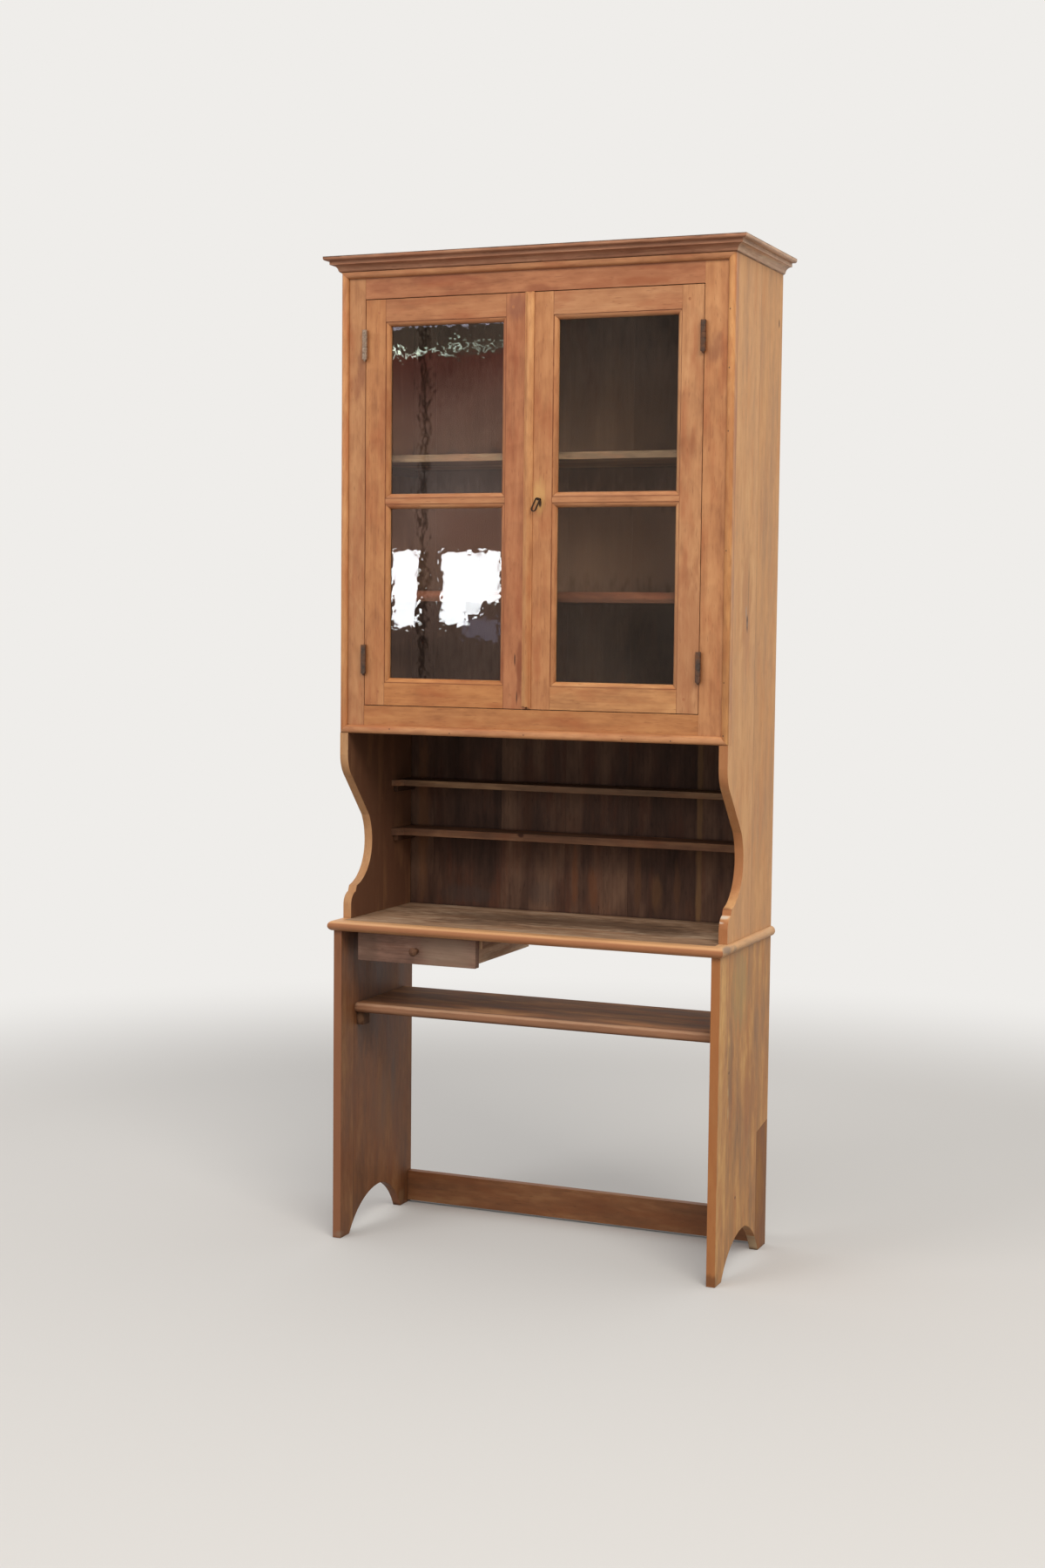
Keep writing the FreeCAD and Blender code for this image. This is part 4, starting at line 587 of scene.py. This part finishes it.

# What use has left on each board, with painted light and shade where noted, in mm. Lines: axis
# and place. Faces: axis and way they face, colour and amount. Spots: centre, reach, colour and amount.
useAndLightMarks = {
    "frame_stile_left": {
        # a dark line along the stile's edge face inside the hinge gap
        "lines": [("x", -362.1)],
        "spots": [
            ((-370, -132, 1776), (13, 30, 52), "#7a4430", 0.5),
            ((-381, -132, 1742), (13, 30, 36), "#8a5138", 0.45)]},
    "frame_stile_right": {"spots": [((376, -132, 1797), (18, 30, 34), "#86523c", 0.5)]},
    "frame_rail_top": {
        "spots": [
            ((200, -132, 1935), (175, 30, 60), "#9a5f40", 0.35),
            ((232, -132, 1926), (75, 30, 9), "#96522f", 0.55),
            ((12, -132, 1919), (55, 30, 12), "#8c4e33", 0.55),
            ((-190, -132, 1952), (85, 30, 13), "#93553a", 0.55),
            ((-330, -132, 1940), (40, 30, 16), "#93553a", 0.45)]},
    "left_door_meeting_stile": {
        "spots": [
            ((-30, -132, 1200), (2.2, 20, 15), "#43231a", 0.85),
            ((-25, -132, 1126), (2.4, 20, 16), "#43231a", 0.85),
            ((-20, -132, 1185), (8, 30, 80), "#74381f", 0.55),
            ((-34, -132, 1888), (26, 30, 32), "#7d4a3e", 0.5)]},
    "right_door_meeting_stile": {
        "spots": [
            ((18, -132, 1520), (15, 30, 42), "#d3a569", 0.7),
            # a painted keyhole: a dark slot standing for the shade inside the hole
            ((20.3, -132, 1507), (4, 20, 9), "#21160f", 0.95)]},
    "side_left": {"faces": [("x", 1, "#5b3a2d", 0.88)]},
    "side_right": {
        "lines": [("y", 28.75)],
        "faces": [("x", -1, "#553528", 0.88), ("y", -1, "#9d613a", 0.8)],
        "spots": [
            ((414.2, -35, 1330), (9, 42, 150), "#a8714f", 0.35),
            ((414.2, -27.5, 1275), (9, 5, 20), "#43342c", 0.9),
            ((414.2, -27.5, 1275), (3, 3, 7), "#a08d7c", 0.7),
            ((414.2, -34.5, 1299), (7, 4, 13), "#a89c93", 0.6),
            ((414.2, -22, 1345), (6, 5, 60), "#8c6c4f", 0.45),
            ((414.2, -66, 1453), (3, 3, 26), "#7a5a42", 0.5),
            ((414.2, 152.5, 1871), (5, 5, 10), "#5a4336", 0.85),
            ((405, -112, 714), (12, 14, 7), "#d8ccbd", 0.9),
            ((400, -119, 703), (9, 6, 3.5), "#ebe3d8", 0.8),
            ((404, -98, 728), (20, 12, 4), "#6b3a24", 0.6)]},
    "bead_right": {
        "lines": [("y", -121.4)],
        "spots": [((408, -127, 1625), (30, 30, 190), "#a35f38", 0.4)]},
    "drawer_hangers": {"faces": [("y", -1, "#d6b090", 0.9)]},
    # a painted shadow line along the foot of each cornice piece, where it meets the bead; along the top, dust
    "cornice_front": {
        "lines": [("z", 1970.8)],
        "spots": [((0, -200, 2001), (endless, endless, 3.4), "#3c322c", 0.8)]},
    "cornice_left": {
        "lines": [("z", 1970.8)],
        "spots": [((0, 0, 2001), (endless, endless, 3.4), "#3c322c", 0.8)]},
    "cornice_right": {
        "lines": [("z", 1970.8)],
        "spots": [((0, 0, 2001), (endless, endless, 3.4), "#5b5048", 0.5)]},
    # the nosings' tops painted lighter and the front face darker: a painted highlight and painted shade for
    # light falling from above
    "counter_nosing_front": {"faces": [("y", -1, "#a26944", 0.85), ("z", 1, "#ddab7c", 0.85)]},
    "counter_nosing_left": {"faces": [("z", 1, "#ddab7c", 0.85)]},
    "counter_nosing_right": {
        "spots": [
            ((425, -142, 656), (12, 42, 14), "#8d7c6f", 0.8),
            ((425, -95, 650), (12, 16, 8), "#96836f", 0.6)]},
    # the top darker over its back part and in two patches
    "counter_top": {
        "spots": [
            ((10, 30, 661), (400, 95, 20), "#45352c", 0.6),
            ((-150, -60, 661), (120, 40, 20), "#57463c", 0.5),
            ((250, -20, 661), (110, 70, 20), "#4c3c33", 0.5)]},
    "leg_right": {
        "faces": [("y", -1, "#a5663a", 0.8), ("x", -1, "#6b4a37", 0.8)],
        "spots": [
            ((414.2, -97.5, 369), (3, 4, 14), "#d4b488", 0.8),
            ((414.2, -96, 330), (3, 4, 17), "#d4b488", 0.75),
            ((414.2, -94, 407), (5, 5, 4), "#4a3020", 0.85),
            ((414.2, -40, 148), (8, 6, 5), "#4a3020", 0.85),
            ((414.2, -30, 565), (9, 60, 95), "#b09864", 0.45),
            ((414.2, 45, 330), (9, 50, 105), "#a06a45", 0.45),
            ((414.2, -85, 410), (9, 22, 115), "#775f4d", 0.5),
            ((400, -160, 12), (40, 20, 16), "#5e3a22", 0.6)]},
    "leg_right_patch": {"faces": [("y", -1, "#c4ac8e", 0.8)]},
    "leg_left": {
        "lines": [("y", -105)],
        "faces": [("y", -1, "#915f44", 0.8)],
        "spots": [
            ((-385, -162, 8), (34, 16, 10), "#8e7a68", 0.5),
            ((-396, 127, 20), (9, 16, 18), "#8c7054", 0.45),
            ((-396, -50, 430), (9, 60, 75), "#463228", 0.5),
            ((-396, 40, 250), (9, 55, 90), "#76543c", 0.5)]},
    "plate_shelf_lower": {"spots": [((-105, 86, 829), (9, 9, 6), "#2c1710", 0.85)]},
    "cabinet_shelf_lower": {"spots": [((0, -91, 1317), (endless, 9, 7), "#4b342a", 0.6)]},
    "drawer_front": {
        "spots": [
            ((-165, -146, 606), (75, 20, 70), "#8f7c6c", 0.5),
            ((-345, -146, 606), (30, 20, 70), "#54443a", 0.4)]},
    "back_boards": {  # its spots lie on the inner face alone
        "faces": [("y", 1, "#7f6049", 0.4)],
        "spots": [
            # painted light: the inner face lightened from z 1045 up, most from 1300 to 1576, where it is seen
            # through the panes
            ((0, 161.75, 1500), (endless, 9, 455), "#7d6152", 0.5),
            ((0, 161.75, 1438), (endless, 9, 138), "#a98371", 0.45),
            ((-366, 161.75, 850), (17, 9, 230), "#80583c", 0.55),
            # painted shade on the lower part behind the right door
            ((190, 161.75, 1215), (140, 9, 125), "#241b17", 0.5),
            ((262, 161.75, 1000), (7.5, 9, endless), "#8f6d4a", 0.55),
            ((-12, 161.75, 735), (9, 9, 80), "#7a4a2e", 0.45),
            ((28, 161.75, 720), (13, 9, 55), "#7a4a2e", 0.4),
            ((128, 161.75, 745), (10, 9, 85), "#6f4c33", 0.4),
            ((170, 161.75, 715), (15, 9, 50), "#755338", 0.45),
            ((215, 161.75, 730), (9, 9, 65), "#6f4c33", 0.35),
            ((-85, 161.75, 700), (38, 9, 34), "#524641", 0.4),
            ((-260, 161.75, 688), (70, 9, 24), "#4d423f", 0.4),
            ((-120, 161.75, 850), (14, 9, 130), "#5a3826", 0.35)]},
    "lower_shelf": {
        "faces": [("y", -1, "#9c7259", 0.85)],
        "spots": [
            # a painted highlight along the top of the rounded front edge, and painted shade along its lower
            # edge
            ((0, -98, 481), (endless, 7, 4.5), "#c39c80", 0.75),
            ((0, -100, 462), (endless, 7, 5), "#6d4838", 0.6)]},
    "right_door_hinge_stile": {"spots": [((330, -132, 1240), (60, 30, 190), "#a06543", 0.5)]},
    "shelf_cleats": {
        "spots": [
            ((0, 0, 300), (endless, endless, 190), "#6b4c39", 0.85),
            # painted light on the front end of the left lower cleat
            ((-389, -91, 450), (10, 6, 16), "#86664e", 0.5)]}}

# widths of rubbed edges, and the angle in degrees from which an edge is rubbed
rubbed = {"weld": 0.01 * mm, "wood": 0.7 * mm, "strip": 0.4 * mm, "iron": 0.3 * mm, "angle": 35}


# the door mouldings' quirks get broken dark lines of painted shade and grime
def addQuirkShadeLines():
    for side, stiles in doorQuirkShade.items():
        for part, quirk in stiles.items():
            useAndLightMarks.setdefault("%s_door_%s_stile" % (side, part), {})["lines"] = [("x", quirk)]
        for part, quirks in railQuirkShade.items():
            useAndLightMarks.setdefault("%s_door_%s" % (side, part), {})["lines"] = [("z", quirk) for quirk in quirks]


def joinFaces(piece):
    weld = piece.modifiers.new("joined faces", "WELD")
    weld.merge_threshold = rubbed["weld"]


def rubEdges(piece, width):
    bevel = piece.modifiers.new("rubbed edges", "BEVEL")
    bevel.width = width
    bevel.segments = 2
    bevel.limit_method = "ANGLE"
    bevel.angle_limit = math.radians(rubbed["angle"])
    bevel.harden_normals = True


def dressWood():
    for seed, (name, (finish, grain, tone)) in enumerate(boards.items(), 11):
        material = woodMaterial(name + " " + finish, finish, grain, seed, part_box(name), tone,
                                useAndLightMarks.get(name, {}), glueJoints.get(name))
        board = nodes[name]
        for slot in board.material_slots:
            slot.material = material
        joinFaces(board)
        rubEdges(board, rubbed["wood"])


addQuirkShadeLines()
dressWood()
print("wood dressed:", len(boards), "boards")

# each wave of the sheet: its length and height in mm
glass = {"clear": "#f3f6f1", "ior": 1.5, "waves": ((80, 0.06), (22, 0.03), (9, 0.018))}


def glassMaterial():
    # drawn sheet glass: clear, with slow waves that bend what it mirrors
    material, tree = newMaterial("old drawn glass")
    place = addNode(tree, "TexCoord").outputs["Object"]
    bump = None
    for length, height in glass["waves"]:
        wave = addNode(tree, "TexNoise", {"Scale": 1 / (length * mm), "Detail": 0.0}, {"Vector": place})
        heights = {"Height": wave.outputs["Fac"]}
        if bump is not None:
            heights["Normal"] = bump
        bump = addNode(tree, "Bump", {"Strength": 1.0, "Distance": height * mm}, heights)
    shader = addNode(tree, "BsdfPrincipled",
                     {"Base Color": paint(glass["clear"]), "Roughness": 0.0, "IOR": glass["ior"],
                      "Transmission Weight": 1.0}, {"Normal": bump})
    clear = addNode(tree, "BsdfTransparent", {"Color": paint(glass["clear"])})
    path = addNode(tree, "LightPath")
    mix = addNode(tree, "MixShader", links={0: path.outputs["Is Shadow Ray"], 1: shader, 2: clear})
    addNode(tree, "OutputMaterial", links={"Surface": mix})
    return material


# colours of scale and rust, how metallic and how matt, the sizes of grain and cloud in mm, and
# one leaf drawn paler near one place: its middle, reach and colour
irons = {
    "rusted iron": dict(scale="#5c4f48", rust="#7d5a45", metal=0.7, rough=0.5, grain=3, cloud=14,
                        bright=((-361.5, -137, 1826), 45, "#d8c4b0")),
    "worn steel": dict(scale="#3c3835", rust="#57493f", metal=1.0, rough=0.38, grain=3, cloud=14,
                       bright=None)}


def ironMaterial(name):
    # hand-worked iron gone brown: dark scale with rust in the low places
    iron = irons[name]
    material, tree = newMaterial(name)
    place = addNode(tree, "TexCoord").outputs["Object"]
    grains = addNode(tree, "TexNoise", {"Scale": 1 / (iron["grain"] * mm), "Detail": 4.0}, {"Vector": place})
    cloudy = addNode(tree, "TexNoise", {"Scale": 1 / (iron["cloud"] * mm), "Detail": 3.0}, {"Vector": place})
    shown = addNode(tree, "ValToRGB", {"stops": [(0.38, paint(iron["scale"])), (0.68, paint(iron["rust"]))]},
                    {0: cloudy.outputs["Fac"]})
    # the leaf near that middle turns paler, in grains
    if iron["bright"]:
        centre, reach, paleTone = iron["bright"]
        away = addNode(tree, "VectorMath", {"operation": "SUBTRACT", 1: Vector(centre) * mm}, {0: place})
        far = addNode(tree, "VectorMath", {"operation": "LENGTH"}, {0: away})
        near = addNode(tree, "MapRange", {"From": (reach * mm, reach * mm * 0.8)},
                       {"Value": far.outputs["Value"]})
        worn = addNode(tree, "Math", {"operation": "MULTIPLY"}, {0: near, 1: grains.outputs["Fac"]})
        shown = addNode(tree, "Mix", {"data_type": "RGBA", 7: paint(paleTone)},
                        {0: worn, 6: shown}).outputs[2]
    gloss = addNode(tree, "MapRange", {"To": (iron["rough"] - 0.1, iron["rough"] + 0.15)},
                    {"Value": grains.outputs["Fac"]})
    bump = addNode(tree, "Bump", {"Strength": 0.6, "Distance": 0.25 * mm}, {"Height": grains.outputs["Fac"]})
    shader = addNode(tree, "BsdfPrincipled", {"Metallic": iron["metal"]},
                     {"Base Color": shown, "Roughness": gloss, "Normal": bump})
    addNode(tree, "OutputMaterial", links={"Surface": shader})
    return material


# cloud and crack spacing and the cracks' depth in mm
putty = {"brown": "#8b7a66", "pale": "#b3a48d", "crack": "#4b3d31", "cloud": 18, "cracks": 22,
         "crackDepth": 0.4, "rough": 0.82, "ior": 1.48}


def puttyMaterial():
    # linseed putty gone hard and brown, with cracks across it
    material, tree = newMaterial("aged linseed putty")
    place = addNode(tree, "TexCoord").outputs["Object"]
    cloudy = addNode(tree, "TexNoise", {"Scale": 1 / (putty["cloud"] * mm), "Detail": 4.0}, {"Vector": place})
    cracks = addNode(tree, "TexVoronoi", {"feature": "DISTANCE_TO_EDGE", "Scale": 1 / (putty["cracks"] * mm)},
                     {"Vector": place})
    split = addNode(tree, "MapRange", {"From": (0.0, 0.03)}, {"Value": cracks.outputs["Distance"]})
    colour = addNode(tree, "ValToRGB", {"stops": [(0.3, paint(putty["brown"])), (0.7, paint(putty["pale"]))]},
                     {0: cloudy.outputs["Fac"]})
    cracked = addNode(tree, "Mix", {"data_type": "RGBA", 6: paint(putty["crack"])}, {0: split, 7: colour})
    bump = addNode(tree, "Bump", {"Strength": 0.6, "Distance": putty["crackDepth"] * mm},
                   {"Height": split})
    shader = addNode(tree, "BsdfPrincipled", {"Roughness": putty["rough"], "IOR": putty["ior"]},
                     {"Base Color": cracked.outputs[2], "Normal": bump})
    addNode(tree, "OutputMaterial", links={"Surface": shader})
    return material


ironwork = ("frame_hinge_leaves", "left_door_hinge_leaves", "right_door_hinge_leaves", "lock_case")
fittings = {
    "old glass": (glassMaterial(), ("left_door_panes", "right_door_panes")),
    "putty": (puttyMaterial(), ("left_door_putty", "right_door_putty")),
    "dark iron": (ironMaterial("rusted iron"), ironwork),
    "worn steel": (ironMaterial("worn steel"), ("lock_bolt", "key"))}


def dressFittings():
    for material, names in fittings.values():
        for name in names:
            for slot in nodes[name].material_slots:
                slot.material = material
    for name in ironwork:
        joinFaces(nodes[name])
        rubEdges(nodes[name], rubbed["iron"])


dressFittings()
print("glass, putty and iron dressed")

# in mm; a leaf's holes stand up from the hinge's middle and at y
fastened = {"screwRadius": 2.9, "screwProud": 0.04, "screwSunk": 0.9, "slotWidth": 0.7, "screwSteps": 10,
            "leafHoles": ((-19, -123.5), (0, -126.5), (19, -123.5)), "lockInset": 6, "lockProud": 0.5,
            "nailRadius": 1.3, "nailProud": 0.25, "nailSunk": 1.0, "nailSteps": 12}

# body: for each leaf the place of its face, the way it faces, and the hinges' middles in mm
leafScrews = {"carcase": ((-361.6, 1, (1826, 1196)), (352.1, -1, (1818, 1193))),
              "left_door": ((-361.4, -1, (1826, 1196)),),
              "right_door": ((351.9, 1, (1818, 1193)),)}

# node and where its nails were driven, x and z in mm
nailPlaces = (
    ("bead_bottom", ((-300.6, 1055.7), (-166.9, 1051.1), (-6.4, 1052.6), (200.2, 1050.6), (299.8, 1050.5))),
    ("bead_right", ((405, 1865), (405, 1756), (405, 1638), (405, 1414), (405, 1164.5), (405, 1063.6))),
    ("frame_stile_left", ((-337, 1894), (-325, 1876.5))))

# the outlines cut away, x and z in mm, and from where to where along y
wornStrip = {"node": "cover_strip", "body": "right_door", "slot": "honey_pine",
             "lowerBreak": ((-16, 1100), (-16, 1109.4), (-12.5, 1108.2), (-9, 1109.8), (-5, 1107.6),
                            (-1, 1108.3), (2.4, 1106.1), (4, 1104), (4, 1100)),
             "breakReach": (-145, -120),
             "upperChip": ((-11.6, 1918), (-11, 1913), (-8, 1911.8), (-5, 1912.8), (-2, 1911.6),
                           (0.4, 1914), (1, 1918)),
             "chipReach": (-141, -135.6)}


def meshFrom(name, form):
    bmesh.ops.recalc_face_normals(form, faces=form.faces)
    mesh = bpy.data.meshes.new(name)
    form.to_mesh(mesh)
    form.free()
    return mesh


def addPiece(name, form, material, body):
    mesh = meshFrom(name, form)
    mesh.materials.append(material)
    piece = bpy.data.objects.new(name, mesh)
    bpy.context.scene.collection.objects.link(piece)
    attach(piece, body)


def addPrism(form, outline, low, high, turn):
    # an outline in its own plane, drawn from low to high along that plane's normal, in mm
    rims = [[form.verts.new(turn @ Vector((x * mm, y * mm, h * mm))) for x, y in outline]
            for h in (low, high)]
    form.faces.new(rims[0])
    form.faces.new(rims[1])
    for i in range(len(outline)):
        j = (i + 1) % len(outline)
        form.faces.new((rims[0][i], rims[0][j], rims[1][j], rims[1][i]))


def facingFrame(place, way):
    turn = Vector(way).to_track_quat("Z", "Y").to_matrix().to_4x4()
    return Matrix.Translation(Vector(place) * mm) @ turn


def addScrew(form, place, way, angle, proud):
    # two half discs either side of the slot
    turn = facingFrame(place, way) @ Matrix.Rotation(angle, 4, "Z")
    radius, steps = fastened["screwRadius"], fastened["screwSteps"]
    start = math.asin(fastened["slotWidth"] / 2 / radius)
    angles = [start + (math.pi - 2 * start) * i / steps for i in range(steps + 1)]
    for side in (-1, 1):
        half = [(radius * math.cos(a), side * radius * math.sin(a)) for a in angles]
        addPrism(form, half, -fastened["screwSunk"], proud, turn)


def makeScrews(material):
    dice = random.Random(5)
    for body, leaves in leafScrews.items():
        form = bmesh.new()
        for x, way, middles in leaves:
            for middle in middles:
                for up, y in fastened["leafHoles"]:
                    addScrew(form, (x, y, middle + up), (way, 0, 0), dice.uniform(0, math.pi),
                             fastened["screwProud"])
        addPiece("hingeScrews_" + body, form, material, body)
    low, high = (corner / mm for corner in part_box("lock_case"))
    inset = fastened["lockInset"]
    form = bmesh.new()
    for x in (low.x + inset, high.x - inset):
        for z in (low.z + inset, high.z - inset):
            addScrew(form, (x, high.y, z), (0, 1, 0), dice.uniform(0, math.pi), fastened["lockProud"])
    addPiece("lockScrews", form, material, "right_door")


def makeNails(material):
    form = bmesh.new()
    steps, radius = fastened["nailSteps"], fastened["nailRadius"]
    ring = [(radius * math.cos(2 * math.pi * i / steps), radius * math.sin(2 * math.pi * i / steps))
            for i in range(steps)]
    for name, places in nailPlaces:
        for x, z in places:  # each is driven into the face met first from the front
            found, place, normal, _ = nodes[name].ray_cast(Vector((x, -300, z)) * mm, Vector((0, 1, 0)))
            if found:
                addPrism(form, ring, -fastened["nailSunk"], fastened["nailProud"],
                         facingFrame(place / mm, normal))
    addPiece("nailHeads", form, material, "carcase")


def addCutter(outline, near, far):
    form = bmesh.new()
    upright = Matrix.Rotation(math.radians(90), 4, "X")  # its outline in x and z, drawn along y
    addPrism(form, outline, -far, -near, upright)
    cutter = bpy.data.objects.new("cutter", meshFrom("cutter", form))
    bpy.context.scene.collection.objects.link(cutter)
    return cutter


def makeWornStrip():
    # the lapping strip with its lower end broken off ragged and its top chipped
    whole = nodes[wornStrip["node"]]
    piece = bpy.data.objects.new("wornCoverStrip", whole.data.copy())
    bpy.context.scene.collection.objects.link(piece)
    joinFaces(piece)
    cutters = [addCutter(wornStrip["lowerBreak"], *wornStrip["breakReach"]),
               addCutter(wornStrip["upperChip"], *wornStrip["chipReach"])]
    for cutter in cutters:
        cut = piece.modifiers.new("break", "BOOLEAN")
        cut.object, cut.operation, cut.solver = cutter, "DIFFERENCE", "EXACT"
    seen = bpy.context.evaluated_depsgraph_get()
    broken = bpy.data.meshes.new_from_object(piece.evaluated_get(seen))
    piece.modifiers.clear()
    piece.data = broken
    broken.materials.clear()
    broken.materials.append(whole.material_slots[0].material)
    for cutter in cutters:
        bpy.data.objects.remove(cutter)
    joinFaces(piece)
    rubEdges(piece, rubbed["strip"])
    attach(piece, wornStrip["body"])
    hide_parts(wornStrip["node"])


makeScrews(fittings["worn steel"][0])
makeNails(fittings["dark iron"][0])
makeWornStrip()
print("screws, nails and the worn strip made")
